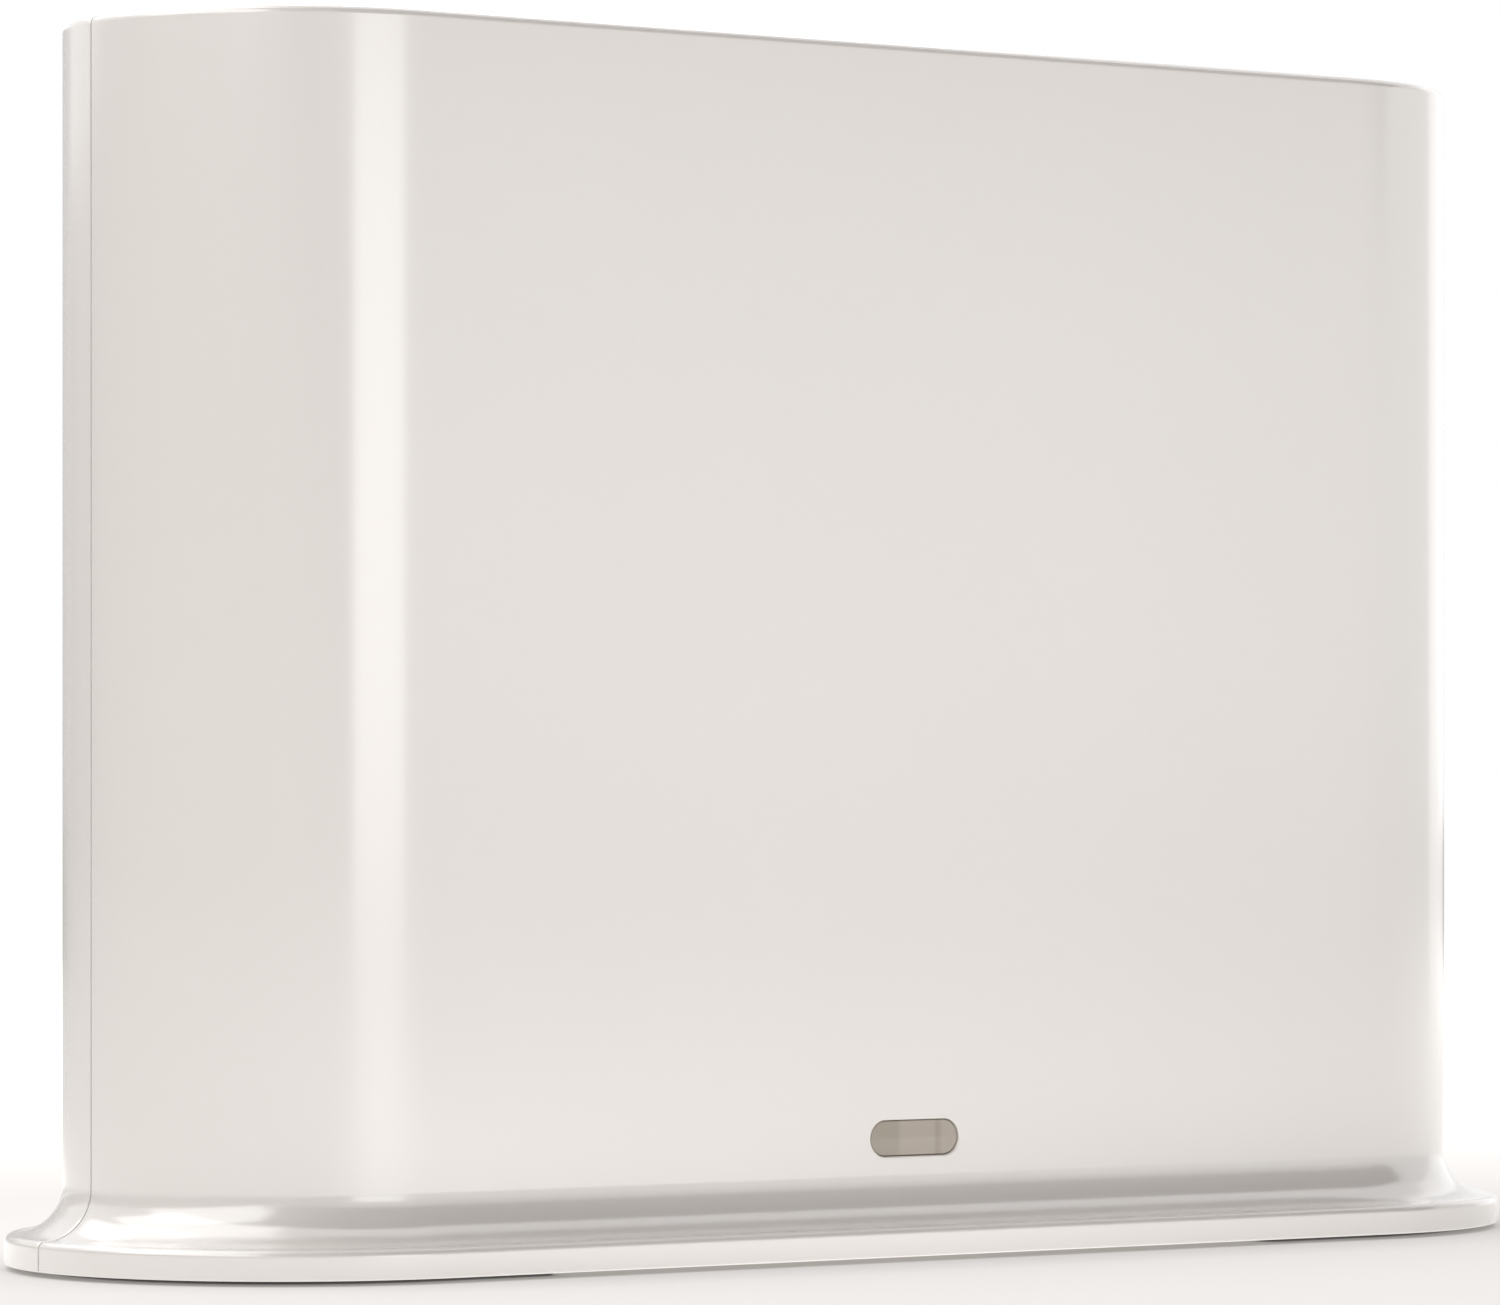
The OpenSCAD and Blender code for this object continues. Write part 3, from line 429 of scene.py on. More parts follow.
def moulded(name, colour, shift=0.05, rough=0.4, lump=900, depth=4e-6, ior=1.5):
    """Moulded plastic: a colour that shifts a little over the piece, and the fine skin of the mould."""
    material, tree, shader, place = finish_nodes(name)
    colour = np.array(colour)
    patch = between(tree, grain(tree, place, scale=35), 0, 1)
    tree.links.new(tint(tree, patch, colour * (1 - shift), colour * (1 + shift)), shader.inputs["Base Color"])
    skin = grain(tree, place, lump)
    tree.links.new(between(tree, skin, rough * 0.85, rough * 1.15), shader.inputs["Roughness"])
    relief(tree, shader, skin, depth)
    shader.inputs["IOR"].default_value = ior
    return material


def place_on_hub(piece, material, slot, *replaced):
    """Gives a piece its finish and lets it ride on the hub in place of CAD nodes."""
    piece.data.materials.append(material)
    smooth(piece)
    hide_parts(*replaced)
    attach(piece, "hub")


gloss_white = moulded("shell_gloss_white", (0.765, 0.738, 0.71), shift=0.006, rough=0.2, lump=1800,
                      depth=1e-7, ior=1.6)
lacquer = gloss_white.node_tree.nodes["Principled BSDF"].inputs
lacquer["Coat Weight"].default_value = 1
lacquer["Coat Roughness"].default_value = 0.15
lacquer["Coat IOR"].default_value = 2.1
place_on_hub(rear_shell, gloss_white, "shell_white", "rear_shell")


# Siren. A round piezo driver in black plastic on a foam gasket behind the grille, held down by a moulded
# clamp ring with two zinc plated screws. A red and black pair of wires runs down to its socket on the board.
def dress(material, *names):
    """Gives CAD nodes a finish in place of their plain colour."""
    for name in names:
        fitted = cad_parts[name].data.materials
        fitted.clear()
        fitted.append(material)


def metal(name, colour, rough=0.3, lump=400, stretch=(1, 1, 1), shift=0.06, depth=2e-6):
    """Metal with a drawn grain: its colour, gloss and relief follow noise that is stretched along it."""
    material, tree, shader, place = finish_nodes(name)
    colour = np.array(colour)
    drawn = grain(tree, place, lump, 5.0, stretch)
    pale = np.minimum(colour * (1 + shift), 1)
    shades = tint(tree, between(tree, drawn, 0, 1), colour * (1 - shift), pale)
    tree.links.new(shades, shader.inputs["Base Color"])
    tree.links.new(between(tree, drawn, rough * 0.75, rough * 1.25), shader.inputs["Roughness"])
    relief(tree, shader, drawn, depth)
    shader.inputs["Metallic"].default_value = 1
    return material


foam, tree, shader, place = finish_nodes("gasket_foam")
cells = tree.nodes.new("ShaderNodeTexVoronoi")
cells.inputs["Scale"].default_value = 2200
tree.links.new(place, cells.inputs["Vector"])
# The foam's colour is darker in the pits of its relief: painted shade in its pores.
pores_painted_shade = tint(tree, cells.outputs["Distance"], (0.03, 0.03, 0.03), (0.11, 0.11, 0.11))
tree.links.new(pores_painted_shade, shader.inputs["Base Color"])
relief(tree, shader, cells.outputs["Distance"], depth=0.0001)
shader.inputs["Roughness"].default_value = 0.95
dress(foam, "siren_gasket")

black_plastic = moulded("plastic_black", (0.022, 0.022, 0.023), shift=0.15, rough=0.45)
dress(black_plastic, "siren_driver")
dress(moulded("bracket_plastic", (0.55, 0.55, 0.54), rough=0.5, lump=1600), "siren_bracket")
zinc = metal("screw_zinc", (0.62, 0.63, 0.65), rough=0.28, lump=900)
dress(zinc, "siren_screws")
ivory = moulded("plastic_ivory", (0.72, 0.66, 0.52), rough=0.42)
dress(ivory, "siren_socket")

wire_pair, tree, shader, place = finish_nodes("siren_wire_pair")
wire_place = tree.nodes.new("ShaderNodeSeparateXYZ")
tree.links.new(place, wire_place.inputs["Vector"])
which = between(tree, wire_place.outputs["X"], 0, 1, start=-1e-4, end=1e-4)
tree.links.new(tint(tree, which, (0.46, 0.02, 0.015), (0.02, 0.02, 0.02)), shader.inputs["Base Color"])
tree.links.new(between(tree, grain(tree, place, 1200), 0.3, 0.42), shader.inputs["Roughness"])
dress(wire_pair, "siren_lead")

# Antennas. Amber polyimide films with a meander of thin copper, stuck inside the rear shell's two end walls.
# A grey coaxial lead from each snaps onto a gilt socket at the board's edge.
film, tree, shader, place = finish_nodes("antenna_film")
meander = tree.nodes.new("ShaderNodeTexWave")
meander.wave_type = "BANDS"
meander.bands_direction = "Z"
meander.inputs["Scale"].default_value = 60
meander.inputs["Distortion"].default_value = 0
tree.links.new(place, meander.inputs["Vector"])
trace = between(tree, meander.outputs["Fac"], 0, 1, 0.48, 0.56)
tree.links.new(tint(tree, trace, (0.42, 0.2, 0.035), (0.6, 0.3, 0.12)), shader.inputs["Base Color"])
tree.links.new(between(tree, trace, 0, 0.8, 0, 1), shader.inputs["Metallic"])
tree.links.new(between(tree, grain(tree, place, 800), 0.25, 0.4), shader.inputs["Roughness"])
relief(tree, shader, trace, depth=3e-5)
dress(film, "antenna_left", "antenna_right")
jacket = moulded("coax_jacket", (0.06, 0.06, 0.065), shift=0.1, rough=0.35, lump=2500)
dress(jacket, "antenna_lead_left", "antenna_lead_right")
gilt = metal("contact_gilt", (0.83, 0.6, 0.24), rough=0.22, lump=1500)
dress(gilt, "antenna_sockets")

# Main board. A green glass-epoxy board on the rear shell's four bosses, with its chips, tin shields and heat
# sink in front and its sockets, switches, cans and coils behind. Tracks and vias show through the mask.
mask, tree, shader, place = finish_nodes("board_solder_mask")
tracks = tree.nodes.new("ShaderNodeTexBrick")
for socket, value in (("Scale", 120), ("Mortar Size", 0.06), ("Brick Width", 0.9), ("Row Height", 0.16)):
    tracks.inputs[socket].default_value = value
for socket, shade in (("Color1", 0.0), ("Color2", 0.25), ("Mortar", 1.0)):
    tracks.inputs[socket].default_value = (shade, shade, shade, 1)
turned = tree.nodes.new("ShaderNodeMapping")
turned.inputs["Rotation"].default_value = (np.pi / 2, 0, 0)
tree.links.new(place, turned.inputs["Vector"])
tree.links.new(turned.outputs["Vector"], tracks.inputs["Vector"])
lines = tint(tree, tracks.outputs["Color"], (0.008, 0.085, 0.03), (0.03, 0.2, 0.075))
vias = tree.nodes.new("ShaderNodeTexVoronoi")
vias.inputs["Scale"].default_value = 260
tree.links.new(place, vias.inputs["Vector"])
dots = tree.nodes.new("ShaderNodeMix")
dots.data_type = "RGBA"
dots.inputs["B"].default_value = (0.6, 0.6, 0.56, 1)
tree.links.new(between(tree, vias.outputs["Distance"], 1, 0, 0.1, 0.14), dots.inputs["Factor"])
tree.links.new(lines, dots.inputs["A"])
tree.links.new(dots.outputs["Result"], shader.inputs["Base Color"])
tree.links.new(between(tree, grain(tree, place, 700), 0.28, 0.4), shader.inputs["Roughness"])
relief(tree, shader, tracks.outputs["Color"], depth=3e-5)
dress(mask, "main_board")
dress(zinc, "board_screws", "heat_sink_screws")
dress(moulded("chip_epoxy", (0.028, 0.028, 0.03), shift=0.12, rough=0.55, lump=3000, depth=1e-5),
      "processor", "memory_chips", "radio_chip", "power_inductor", "ethernet_transformer")
dress(moulded("thermal_silicone", (0.32, 0.38, 0.46), rough=0.7, lump=1400, depth=1e-5),
      "processor_pad", "heat_sink_pad")
tin = metal("shield_tin", (0.7, 0.7, 0.68), rough=0.34, lump=160, stretch=(1, 1, 8))
dress(tin, "processor_shield", "radio_shield")
dress(metal("sink_anodised", (0.5, 0.51, 0.53), rough=0.42, lump=120, stretch=(12, 12, 1)), "heat_sink")
dress(metal("can_drawn", (0.66, 0.66, 0.68), rough=0.3, lump=300, stretch=(1, 6, 1)), "capacitors")

# Network socket. A dark moulded housing soldered to the board, its face just behind the port panel. The
# stepped mouth takes an eight-contact plug with its latch below, and the gilt springs hang from its roof.
socket_low, socket_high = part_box("ethernet_jack")
socket_face = socket_high.y
socket_corner = 0.0004
mouth_back = socket_face - 0.0135
mouth_half = 0.00595
mouth_height = 0.0069
mouth_top = panel_z + 0.0012 + mouth_height / 2
mouth_low = mouth_top - mouth_height
step_half = 0.0032
step_low = mouth_low - 0.0017
latch_half = 0.0017
latch_low = mouth_low - 0.003
right_half = np.array([
    (latch_half, latch_low), (latch_half, step_low), (step_half, step_low), (step_half, mouth_low),
    (mouth_half, mouth_low), (mouth_half, mouth_top)])
mouth = np.vstack((right_half, right_half[::-1] * (-1, 1))) + (ethernet_x, 0)


def corner_ways(points):
    """The way outwards at each corner of a square-cornered outline: the sum of its sides' normals."""
    along = np.roll(points, -1, axis=0) - points
    along /= np.linalg.norm(along, axis=1, keepdims=True)
    normals = np.column_stack((along[:, 1], -along[:, 0]))
    return normals + np.roll(normals, 1, axis=0)


edge = 0.00025
edge_turn = np.linspace(0, np.pi / 2, 6)
edge_grow = edge * (np.cos(edge_turn) - 1)
edge_depth = edge * (np.sin(edge_turn) - 1)
housing = round_outline(ethernet_x, panel_z, socket_high.x - socket_low.x, socket_high.z - socket_low.z,
                        socket_corner)
network_socket = new_piece("network_socket", carry(
    housing, np.append(0, edge_grow), np.append(board_rear, socket_face + edge_depth)))
combine(network_socket, "DIFFERENCE", hole((mouth, corner_ways(mouth)), socket_face, mouth_back, edge))
dark_housing = moulded("socket_dark", (0.045, 0.046, 0.05), shift=0.1, rough=0.38)
place_on_hub(network_socket, dark_housing, "socket_grey", "ethernet_jack")
dress(gilt, "ethernet_contacts")

# USB socket. A tin plated steel shell, folded into a tube with round corners and a rolled lip, around a black
# tongue that carries four gilt contacts.
usb_low, usb_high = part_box("usb_shell")
usb_wall = 0.0004
lip_turn = np.linspace(0, np.pi, 9)
usb_grow = np.concatenate(([0], usb_wall / 2 * (np.cos(lip_turn) - 1), [-usb_wall]))
usb_depth = np.concatenate(([usb_low.y], usb_high.y - usb_wall / 2 * (1 - np.sin(lip_turn)), [usb_low.y]))
usb_tube = round_outline(usb_x, panel_z, usb_high.x - usb_low.x, usb_high.z - usb_low.z, usb_port["corner"])
usb_shell = new_piece("usb_shell_folded", carry(usb_tube, usb_grow, usb_depth, loop=True))
place_on_hub(usb_shell, tin, "shield_tin", "usb_shell")
dress(black_plastic, "usb_tongue")
dress(gilt, "usb_contacts")

# Power inlet. A black moulded housing on the board with a round nose in the panel. A plug of 5.5 mm slides
# over the plated centre pin in its bore.
inlet_low, inlet_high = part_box("power_inlet")
inlet_corner = 0.0005
nose_face = inlet_high.y
nose_back = nose_face - 0.0045
nose_r = 0.0044
bore_r = 0.0031
bore_lip = 0.0003
pin_low, pin_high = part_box("inlet_pin")
pin_r = (pin_high.x - pin_low.x) / 2
inlet_box = round_outline(inlet_x, panel_z, inlet_high.x - inlet_low.x, inlet_high.z - inlet_low.z,
                          inlet_corner)
power_inlet = new_piece("power_inlet_housing", carry(inlet_box, 0, (inlet_low.y, nose_back)))
combine(power_inlet, "UNION", carry(
    disc(inlet_x, panel_z, nose_r, 20), np.append(0, edge_grow),
    np.append(nose_back - rib_sink, nose_face + edge_depth)))
combine(power_inlet, "DIFFERENCE", hole(disc(inlet_x, panel_z, bore_r, 20), nose_face, pin_low.y, bore_lip))
place_on_hub(power_inlet, black_plastic, "black_plastic", "power_inlet")
tip_turn = np.linspace(0, np.pi / 2, 9)
inlet_pin = new_piece("inlet_centre_pin", carry(
    disc(inlet_x, panel_z, pin_r, 12), np.append(0, pin_r * (np.cos(tip_turn) - 1)),
    np.append(pin_low.y, pin_high.y - pin_r + pin_r * np.sin(tip_turn))))
plated = metal("pin_plated", (0.7, 0.7, 0.68), rough=0.18, lump=600)
place_on_hub(inlet_pin, plated, "shield_tin", "inlet_pin")

# Buttons and switches. The power and sync caps are white gloss plastic with a shallow dish, and each pushes
# an ivory plunger into a switch on the board. The reset plunger is reached with a pin through its hole.
cap_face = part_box("power_button")[1].y
cap_edge = 0.0004
cap_dish = 0.0002
flange_out = 0.0009
flange_face = panel_back - 0.00015
flange_back = flange_face - 0.001


def button(name, x, radius, stem_r, end, *marks):
    """A cap turned about its axis: a dish that deepens to its middle, a round edge, side, flange and stem."""
    dish = np.linspace(0, radius - cap_edge, 8)
    turn = np.linspace(0, np.pi / 2, 7)[1:]
    out = np.concatenate((dish, radius - cap_edge * (1 - np.sin(turn)),
                          [radius, radius + flange_out, radius + flange_out, stem_r, stem_r]))
    back = np.concatenate((cap_dish * (1 - (dish / dish[-1]) ** 2), cap_edge * (1 - np.cos(turn))))
    depth = np.append(cap_face - back, [flange_face, flange_face, flange_back, flange_back, end])
    cap = new_piece(name, carry(disc(x, panel_z, radius, 20), out - radius, depth), *marks)
    cap.data.materials.append(gloss_white)
    smooth(cap)
    return cap


mark_depth = (cap_face - cap_dish - 0.0005, cap_face - cap_dish + 0.00012)
ring_out = 0.0017
ring_in = 0.0013
ring_start = 130
ring_end = 410
bar_rise = 0.0013
bar_width = 0.0004
bar_height = 0.0018
ring_mark = np.vstack((arc(power_x, panel_z, ring_out, ring_start, ring_end, 33),
                       arc(power_x, panel_z, ring_in, ring_end, ring_start, 33)))
bar_mark = round_outline(power_x, panel_z + bar_rise, bar_width, bar_height, bar_width / 2)
power_cap_r = 0.0045
power_stem_r = 0.0022
sync_cap_r = 0.004
sync_stem_r = 0.0018
power_cap = button("power_cap", power_x, power_cap_r, power_stem_r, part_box("power_button")[0].y,
                   carry((ring_mark, ring_mark * 0), 0, mark_depth), carry(bar_mark, 0, mark_depth))
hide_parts("power_button")
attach(power_cap, "power_button")
sync_cap = button("sync_cap", sync_x, sync_cap_r, sync_stem_r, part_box("sync_button")[0].y)
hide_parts("sync_button")
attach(sync_cap, "sync_button")
dress(ivory, "power_plunger", "sync_plunger", "reset_plunger")
dress(dark_housing, "power_switch", "sync_switch", "reset_switch")

# Status light. A clear acrylic guide in a black shroud takes the light of a small resin-cast LED on the board
# to the window, a pill of smoky plastic whose flange seats behind the front wall. The guide's pale end shows
# through it.
resin = moulded("led_resin", (0.75, 0.68, 0.4), rough=0.25)
dress(resin, "status_led")
dress(black_plastic, "light_shroud")
acrylic = moulded("guide_acrylic", (0.85, 0.88, 0.88), shift=0.01, rough=0.06, ior=1.49)
acrylic.node_tree.nodes["Principled BSDF"].inputs["Transmission Weight"].default_value = 0.9
dress(acrylic, "light_guide")

lens_low, lens_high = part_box("status_lens")
lens_width = 0.01075
lens_height = 0.00355
lens_z = (lens_low.z + lens_high.z) / 2
lens_face = lens_low.y
lens_crown = 0.00004
lens_edge = 0.00015
lens_flange = 0.0014
lens_turn = np.linspace(0, np.pi / 2, 6)[1:]
inwards = np.linspace(1, lens_edge / (lens_height / 2), 8)
lens_grow = np.concatenate((
    -inwards * lens_height / 2, lens_edge * (np.sin(lens_turn) - 1), [0, lens_flange, lens_flange]))
lens_depth = np.concatenate((
    lens_face + lens_crown * (1 - inwards**2), lens_face + lens_crown + lens_edge * (1 - np.cos(lens_turn)),
    [-inner_r, -inner_r, lens_high.y]))
status_lens = new_piece("status_window", carry(
    round_outline(0, lens_z, lens_width, lens_height, lens_height / 2, 14), lens_grow, lens_depth))
lens_smoke, tree, shader, place = finish_nodes("window_smoke")
lens_place = tree.nodes.new("ShaderNodeSeparateXYZ")
tree.links.new(place, lens_place.inputs["Vector"])
show = tree.nodes.new("ShaderNodeValToRGB")
smoke_dark = (0.385, 0.345, 0.29)
smoke_pale = (0.45, 0.40, 0.345)
smoke_line = (0.37, 0.33, 0.28)
show.color_ramp.elements[0].color = (*smoke_dark, 1)
show.color_ramp.elements[1].color = (*smoke_pale, 1)
for stop, smoke in ((0.30, smoke_dark), (0.36, smoke_pale), (0.72, smoke_pale), (0.77, smoke_line),
                    (0.83, smoke_pale)):
    show.color_ramp.elements.new(stop).color = (*smoke, 1)
along = between(tree, lens_place.outputs["X"], 0, 1, start=-lens_width / 2, end=lens_width / 2)
tree.links.new(along, show.inputs["Fac"])
tree.links.new(show.outputs["Color"], shader.inputs["Base Color"])
tree.links.new(between(tree, grain(tree, place, 1500), 0.10, 0.16), shader.inputs["Roughness"])
place_on_hub(status_lens, lens_smoke, "lens_smoke", "status_lens")

# Front shell. The other half of the clamshell, in the same glossy plastic, bare but for the pill-shaped hole
# of the status window. Its lip stands behind the seam, and two hooks snap under the rear shell's catches.
front_shell = new_piece("front_shell_skin", half_shell(-1))
window_gap = 0.00006
window_lip = 0.0002
window = round_outline(0, lens_z, lens_width + 2 * window_gap, lens_height + 2 * window_gap,
                       lens_height / 2 + window_gap, 14)
combine(front_shell, "DIFFERENCE", hole(window, -half_depth, -wall_cut, window_lip))
lip_root = -0.006
lip_end = 0.0016
lip_gap = 0.00025
lip_wall = 0.0012
lip_top = ceiling - lip_gap
lip_low = lip_top - lip_wall
lip_out = end_x + inner_r - lip_gap
top_lip = ((lip_root, lip_low), (lip_end, lip_low), (lip_end, lip_top), (lip_root / 2, lip_top),
           (lip_root / 2, in_roof), (lip_root, in_roof))
arm_top = ceiling - 0.0016
arm_low = arm_top - 0.0014
hook_root = lip_root - 0.0003
hook_top = in_roof - 0.0001
barb_near = 0.0049
barb_far = 0.0069
barb_top = ceiling - 0.0003
hook = ((hook_root, arm_low), (barb_far, arm_low), (barb_far, barb_top), (barb_near, barb_top),
        (barb_near, arm_top), (hook_root / 2, arm_top), (hook_root / 2, hook_top), (hook_root, hook_top))
inside = base_bosses(-1) + [slab(top_lip, -end_x, end_x)]
for side in (-1, 1):
    inside.append(slab(hook, side * hook_x - hook_half, side * hook_x + hook_half))
    ends = sorted((side * lip_out, side * (lip_out - lip_wall)))
    inside.append(block((ends[0], lip_root, flare_z), (ends[1], lip_end, lip_top)))
combine(front_shell, "UNION", *inside)
place_on_hub(front_shell, gloss_white, "shell_white", "front_shell")

# Base plate. A flat stadium of matt textured plastic in the rebate under both shells, with a row of air
# slots, grooves for the two foot pads and four countersunk holes for the zinc plated screws.
plate_low, plate_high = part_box("base_plate")
plate_r = plate_high.y
plate_edge = 0.0002
plate_turn = np.linspace(0, np.pi / 2, 5)
plate_grow = plate_edge * (np.sin(plate_turn) - 1)
plate_rise = plate_low.z + plate_edge * (1 - np.cos(plate_turn))
base_plate = new_piece("base_plate_textured", carry(
    round_outline(0, 0, 2 * (end_x + plate_r), 2 * plate_r, plate_r, 32),
    np.append(plate_grow, 0), np.append(plate_rise, plate_high.z), upright=True))
pad_inset = 0.0016
pad_out = plate_r - pad_inset
pad_half = 0.002
pad_mid = pad_out - pad_half
pad_leg = 0.014


def pad_outline(side):
    """Plan of a foot pad: half a ring round one end, two legs and round leg ends, with its ways outwards."""
    leg = -pad_leg + pad_half
    outer = arc(0, 0, 1, -90, 90, 49)
    far_end = arc(0, 0, 1, 90, 270, 13)
    inner = -arc(0, 0, 1, 90, -90, 49)
    near_end = arc(0, 0, 1, 90, 270, 13)
    points = np.vstack((outer * pad_out, far_end * pad_half + (leg, pad_mid), -inner * (pad_mid - pad_half),
                        near_end * pad_half + (leg, -pad_mid)))
    ways = np.vstack((outer, far_end, inner, near_end))
    return points * (side, 1) + (side * end_x, 0), ways * (side, 1)


slot_pitch = 0.006
slot_width = 0.0022
slot_length = 0.018
slot_lip = 0.0002
past_plate = 0.001
groove_gap = 0.0001
groove_top = plate_low.z + 0.0005
screw_x = end_x + base_boss_out * np.cos(base_boss_way)
screw_y = base_boss_out * np.sin(base_boss_way)
screw_hole_r = 0.00145
sink_out = 0.00105
sink_top = plate_low.z + 0.0011
slots = [hole(round_outline(slot_pitch * i, 0, slot_width, slot_length, slot_width / 2), plate_low.z,
              plate_high.z + past_plate, slot_lip, upright=True) for i in range(-7, 8)]
grooves = [carry(pad_outline(side), groove_gap, (plate_low.z - past_plate, groove_top), upright=True)
           for side in (-1, 1)]
sink_rise = (plate_high.z + past_plate, sink_top, plate_low.z, plate_low.z - past_plate)
sinks = [carry(disc(x, y, screw_hole_r), (0, 0, sink_out, sink_out), sink_rise, upright=True)
         for x in (-screw_x, screw_x) for y in (-screw_y, screw_y)]
combine(base_plate, "DIFFERENCE", *slots, *grooves, *sinks)
base_white = moulded("base_textured_white", (0.7, 0.675, 0.64), shift=0.02, rough=0.55, lump=2600,
                     depth=1.2e-5)
place_on_hub(base_plate, base_white, "base_white", "base_plate")
dress(zinc, "base_screws")

# Foot pads. Two C-shaped strips of soft dark rubber glued into the base plate's grooves, round at their lower
# edges. They hold the rim half a millimetre off the table.
pad_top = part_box("foot_pads")[1].z
pad_round = 0.0004
pad_turn = np.linspace(0, np.pi / 2, 7)
pad_grow = np.append(pad_round * (np.sin(pad_turn) - 1), 0)
pad_rise = np.append(pad_round * (1 - np.cos(pad_turn)), pad_top)
foot_pads = new_piece("foot_pads_rubber", *[
    carry(pad_outline(side), pad_grow, pad_rise, upright=True) for side in (-1, 1)])
rubber = moulded("pad_rubber", (0.045, 0.044, 0.043), shift=0.12, rough=0.8, lump=1800, depth=1e-5)
place_on_hub(foot_pads, rubber, "foot_rubber", "foot_pads")

# Studio. A pale table that glows softly in front of the hub, and soft boxes in front, above, left, behind and
# right. A dark card over the front, paler to the left, makes the grey band in the flare. A pale strip at its
# lower edge keeps the roof light, and pale cards hold the left edge against the white background.
floor_drop = 0.00002
floor_size = 6
floor_corners = np.array([(-1, -1, 0), (1, -1, 0), (1, 1, 0), (-1, 1, 0)]) * floor_size
floor_mesh = bpy.data.meshes.new("floor")
floor_mesh.from_pydata((floor_corners - (0, 0, floor_drop)).tolist(), [], [(0, 1, 2, 3)])
floor = bpy.data.objects.new("floor", floor_mesh)
bpy.context.scene.collection.objects.link(floor)
paper, tree, shader, place = finish_nodes("floor_white")
shader.inputs["Base Color"].default_value = (0.36, 0.352, 0.345, 1)
shader.inputs["Roughness"].default_value = 0.9
shader.inputs["Specular IOR Level"].default_value = 0
shader.inputs["Emission Color"].default_value = (1, 0.985, 0.97, 1)


def away(tree, place, point):
    """Distance of each place from a point."""
    reach = tree.nodes.new("ShaderNodeVectorMath")
    reach.operation = "DISTANCE"
    reach.inputs[1].default_value = point
    tree.links.new(place, reach.inputs[0])
    return reach.outputs["Value"]


strip = tree.nodes.new("ShaderNodeMapping")
strip.inputs["Scale"].default_value = (1, 0.25, 1)
tree.links.new(place, strip.inputs["Vector"])
beside = place
for step, value in (("ABSOLUTE", None), ("SUBTRACT", (end_x, 0, 0)), ("MAXIMUM", (0, 0, 0))):
    node = tree.nodes.new("ShaderNodeVectorMath")
    node.operation = step
    tree.links.new(beside, node.inputs[0])
    if value:
        node.inputs[1].default_value = value
    beside = node.outputs["Vector"]
glow_ahead = (0.0, -0.4, 0)
glow_strip = (-0.005, -0.06, 0)
glow_right = (1.0, 0.1, 0)
pool = between(tree, away(tree, place, glow_ahead), low=1.1, high=0.38, start=0.15, end=0.75)
strip_away = away(tree, strip.outputs["Vector"], glow_strip)
streak = between(tree, strip_away, low=0.66, high=0, start=0.05, end=0.125)
# The glow is dimmed next to the hub's outline and reaches full strength a few centimetres out: a painted
# contact shade in the light that the hub sees.
glow_painted_contact_shade = between(tree, away(tree, beside, (0, 0, 0)), low=0.68, high=1.04, start=foot_r, end=0.075)
right_pool = between(tree, away(tree, place, glow_right), low=0.7, high=0, start=0.35, end=0.9)
total = pool
for part in (streak, right_pool):
    both = tree.nodes.new("ShaderNodeMath")
    tree.links.new(total, both.inputs[0])
    tree.links.new(part, both.inputs[1])
    total = both.outputs["Value"]
glow = tree.nodes.new("ShaderNodeMath")
glow.operation = "MULTIPLY"
tree.links.new(total, glow.inputs[0])
tree.links.new(glow_painted_contact_shade, glow.inputs[1])
# For the camera, the table's emission is darkened under and beside the hub by ambient occlusion: a painted
# contact shadow.
contact = tree.nodes.new("ShaderNodeAmbientOcclusion")
contact.inputs["Distance"].default_value = 0.03
contact.samples = 8
# It is also lower close to the hub and rises to plain white further out: a painted soft shade round the hub.
white_past_painted_shade = between(tree, away(tree, place, (0, 0, 0)), low=0.57, high=1.0, start=0.12, end=0.4)
painted_contact_shadow = between(tree, contact.outputs["AO"], low=0.15, high=1, start=0, end=0.9)
shade = tree.nodes.new("ShaderNodeMath")
shade.operation = "MULTIPLY"
tree.links.new(painted_contact_shadow, shade.inputs[0])
tree.links.new(white_past_painted_shade, shade.inputs[1])
seen = tree.nodes.new("ShaderNodeLightPath")
table = tree.nodes.new("ShaderNodeMix")
tree.links.new(seen.outputs["Is Camera Ray"], table.inputs["Factor"])
tree.links.new(glow.outputs["Value"], table.inputs["A"])
tree.links.new(shade.outputs["Value"], table.inputs["B"])
tree.links.new(table.outputs["Result"], shader.inputs["Emission Strength"])
floor_mesh.materials.append(paper)


def card(name, points, faces, shade):
    """A sheet of card that the camera doesn't see, but the gloss of the hub does. Gives its nodes."""
    mesh = bpy.data.meshes.new(name)
    mesh.from_pydata(np.reshape(points, (-1, 3)).tolist(), [], faces)
    sheet = bpy.data.objects.new(name, mesh)
    bpy.context.scene.collection.objects.link(sheet)
    sheet.visible_camera = False
    stock, tree, shader, place = finish_nodes(name)
    shader.inputs["Base Color"].default_value = (shade, shade, shade, 1)
    shader.inputs["Roughness"].default_value = 1
    mesh.materials.append(stock)
    return tree, shader, place


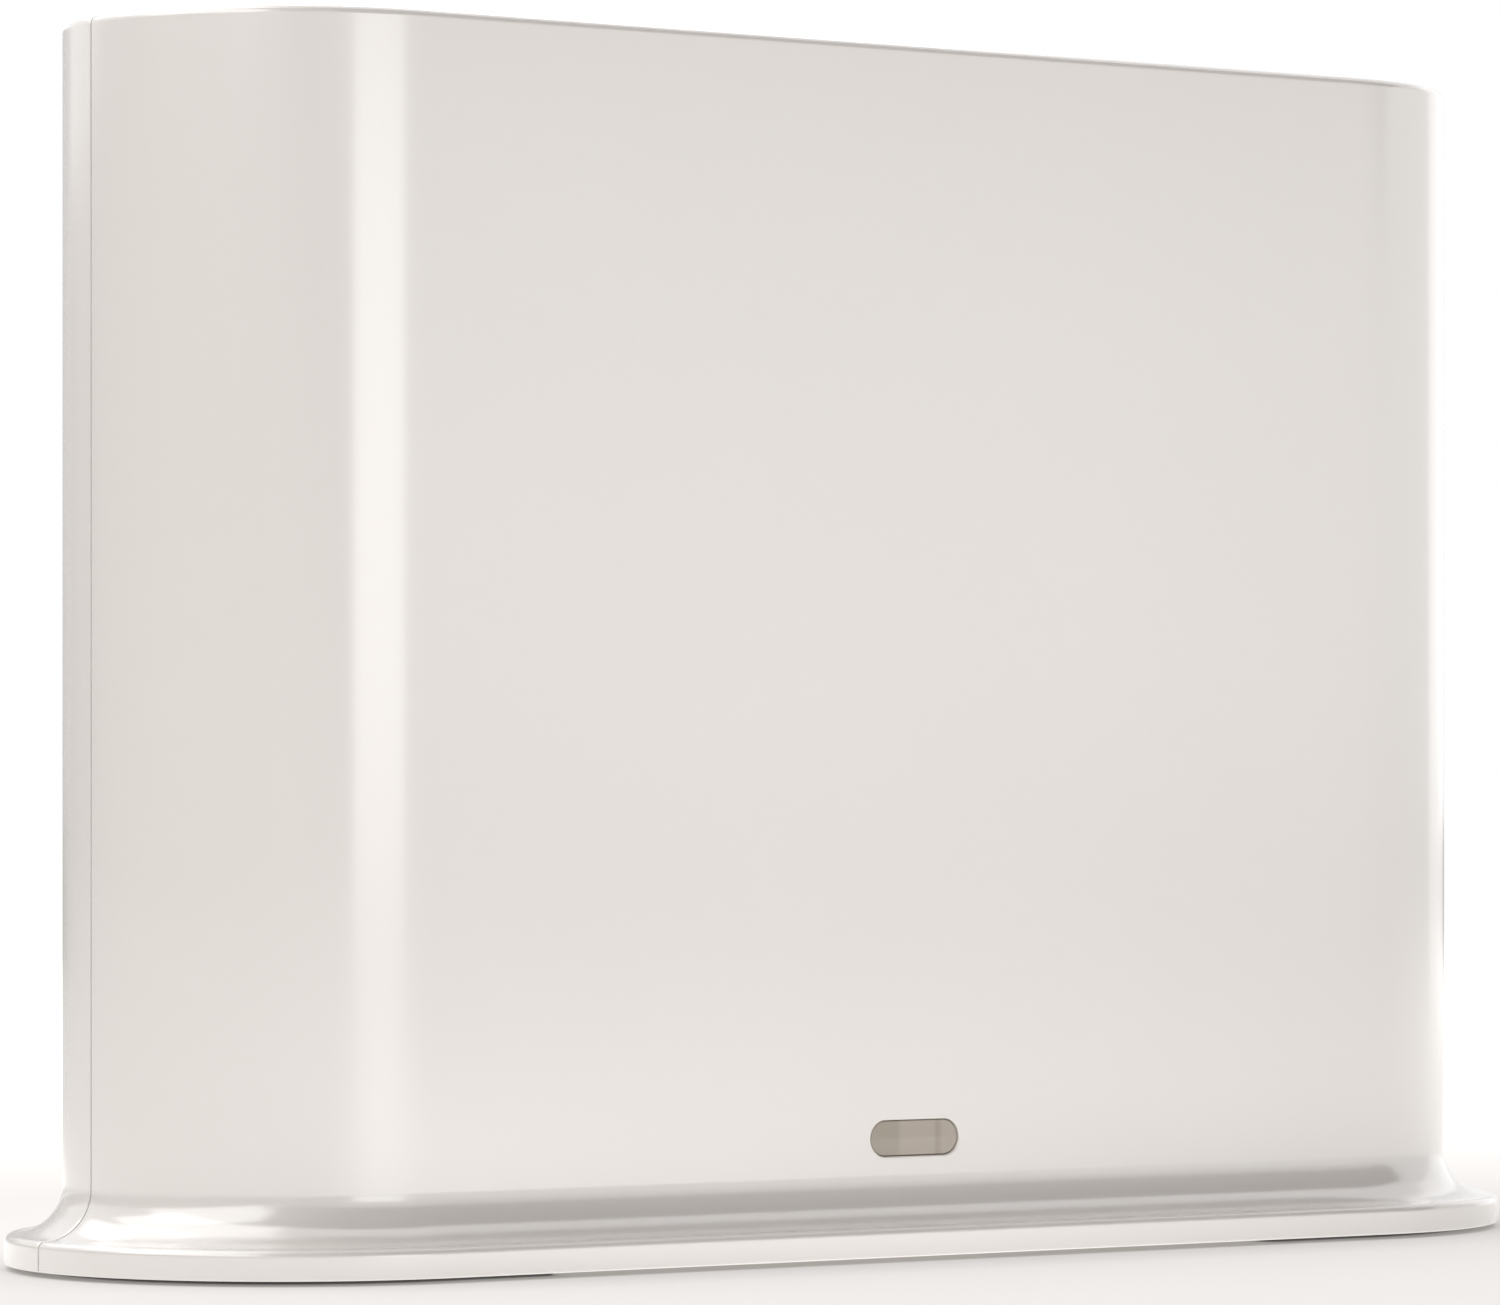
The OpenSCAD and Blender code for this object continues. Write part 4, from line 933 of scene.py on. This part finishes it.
hood_low = (-0.82, 0.378)
hood_high = (-0.25, 0.93)
hood_hem = (-0.95, 0.25)
hood_left = -0.75
hood_right = 1.4
hood = [(hood_left, *hood_low), (hood_right, *hood_low), (hood_right, *hood_high), (-0.55, *hood_high)]
tree, shader, place = card("front_card", hood, [(0, 1, 2, 3)], shade=0.02)
hood_place = tree.nodes.new("ShaderNodeSeparateXYZ")
tree.links.new(place, hood_place.inputs["Vector"])
fade = between(tree, hood_place.outputs["X"], 0, 1, start=-0.65, end=-0.1)
tree.links.new(tint(tree, fade, (0.45, 0.45, 0.45), (0.02, 0.02, 0.02)), shader.inputs["Base Color"])
hem = [(hood_left, *hood_hem), (hood_right, *hood_hem), (hood_right, *hood_low), (hood_left, *hood_low)]
card("low_card", hem, [(0, 1, 2, 3)], shade=0.8)
card_low = 0.035
left_top = 0.2
left_turns = [(-0.2, -0.95), (-0.5, -0.4), (-0.5, 0.9), (-0.12, 1.1)]
left_posts = [[(x, y, card_low), (x, y, left_top)] for x, y in left_turns]
card("left_card", left_posts, [(i, i + 1, i + 3, i + 2) for i in (0, 2, 4)], shade=0.7)
back_top = 0.3
back_posts = [[(x, 1.1, card_low), (x, 1.1, back_top)] for x in (-0.12, 0.76)]
card("back_card", back_posts, [(0, 2, 3, 1)], shade=0.8)


def soft_box(name, at, aim, width, height, radiance, colour, in_gloss=True):
    """A rectangular lamp that faces a point. Its power is radiance times area times pi."""
    light = bpy.data.lights.new(name, "AREA")
    light.shape = "RECTANGLE"
    light.size = width
    light.size_y = height
    light.energy = radiance * width * height * np.pi
    light.color = colour
    box = bpy.data.objects.new(name, light)
    bpy.context.scene.collection.objects.link(box)
    box.location = at
    box.rotation_euler = (Vector(aim) - Vector(at)).to_track_quat("-Z", "Y").to_euler()
    box.visible_camera = False
    box.visible_glossy = in_gloss


hub_middle = (0, 0, 0.05)
lamp_white = (1, 0.99, 0.98)
lamp_warm = (1, 0.985, 0.97)
lamp_rose = (1, 0.95, 0.94)
soft_box("front_box", (0.05, -1.05, 0.14), (-0.03, 0, 0.14),
         width=0.46, height=0.24, radiance=1.1, colour=lamp_white)
soft_box("top_box", (0, 0, 1.05), hub_middle,
         width=0.95, height=0.8, radiance=1.8, colour=lamp_rose, in_gloss=False)
soft_box("left_box", (-0.92, -0.15, 0.58), hub_middle,
         width=1.1, height=0.9, radiance=1.25, colour=lamp_warm)
soft_box("corner_box", (-0.55, 0.28, 0.95), hub_middle,
         width=0.8, height=1.0, radiance=1.4, colour=lamp_warm)
soft_box("back_box", (0.1, 0.8, 0.95), hub_middle,
         width=1.4, height=0.8, radiance=1.15, colour=lamp_warm)
soft_box("right_box", (0.95, 0.35, 0.25), hub_middle,
         width=0.5, height=0.7, radiance=0.42, colour=lamp_white)
soft_box("side_box", (0.75, -0.05, 0.75), hub_middle,
         width=0.5, height=0.5, radiance=1.3, colour=lamp_rose, in_gloss=False)

world = bpy.data.worlds.new("studio")
bpy.context.scene.world = world
world.use_nodes = True
tree = world.node_tree
background = tree.nodes["Background"]
seen = tree.nodes.new("ShaderNodeLightPath")
white = seen.outputs["Is Camera Ray"]
for ray in ("Is Glossy Ray", "Is Transmission Ray"):
    either = tree.nodes.new("ShaderNodeMath")
    either.operation = "MAXIMUM"
    tree.links.new(white, either.inputs[0])
    tree.links.new(seen.outputs[ray], either.inputs[1])
    white = either.outputs["Value"]
tree.links.new(tint(tree, white, (0.14, 0.126, 0.122), (1, 1, 1)), background.inputs["Color"])

camera = bpy.data.objects.new("camera", bpy.data.cameras.new("camera"))
bpy.context.scene.collection.objects.link(camera)
camera.location = (-0.404355, -0.611672, 0.047894)
camera.rotation_euler = (np.pi / 2, 0, -np.radians(35.0055))
camera.data.sensor_width = 36
camera.data.lens = 168.19
camera.data.shift_x = -0.1489
camera.data.shift_y = 0.0893
bpy.context.scene.camera = camera
bpy.context.scene.view_settings.view_transform = "Standard"
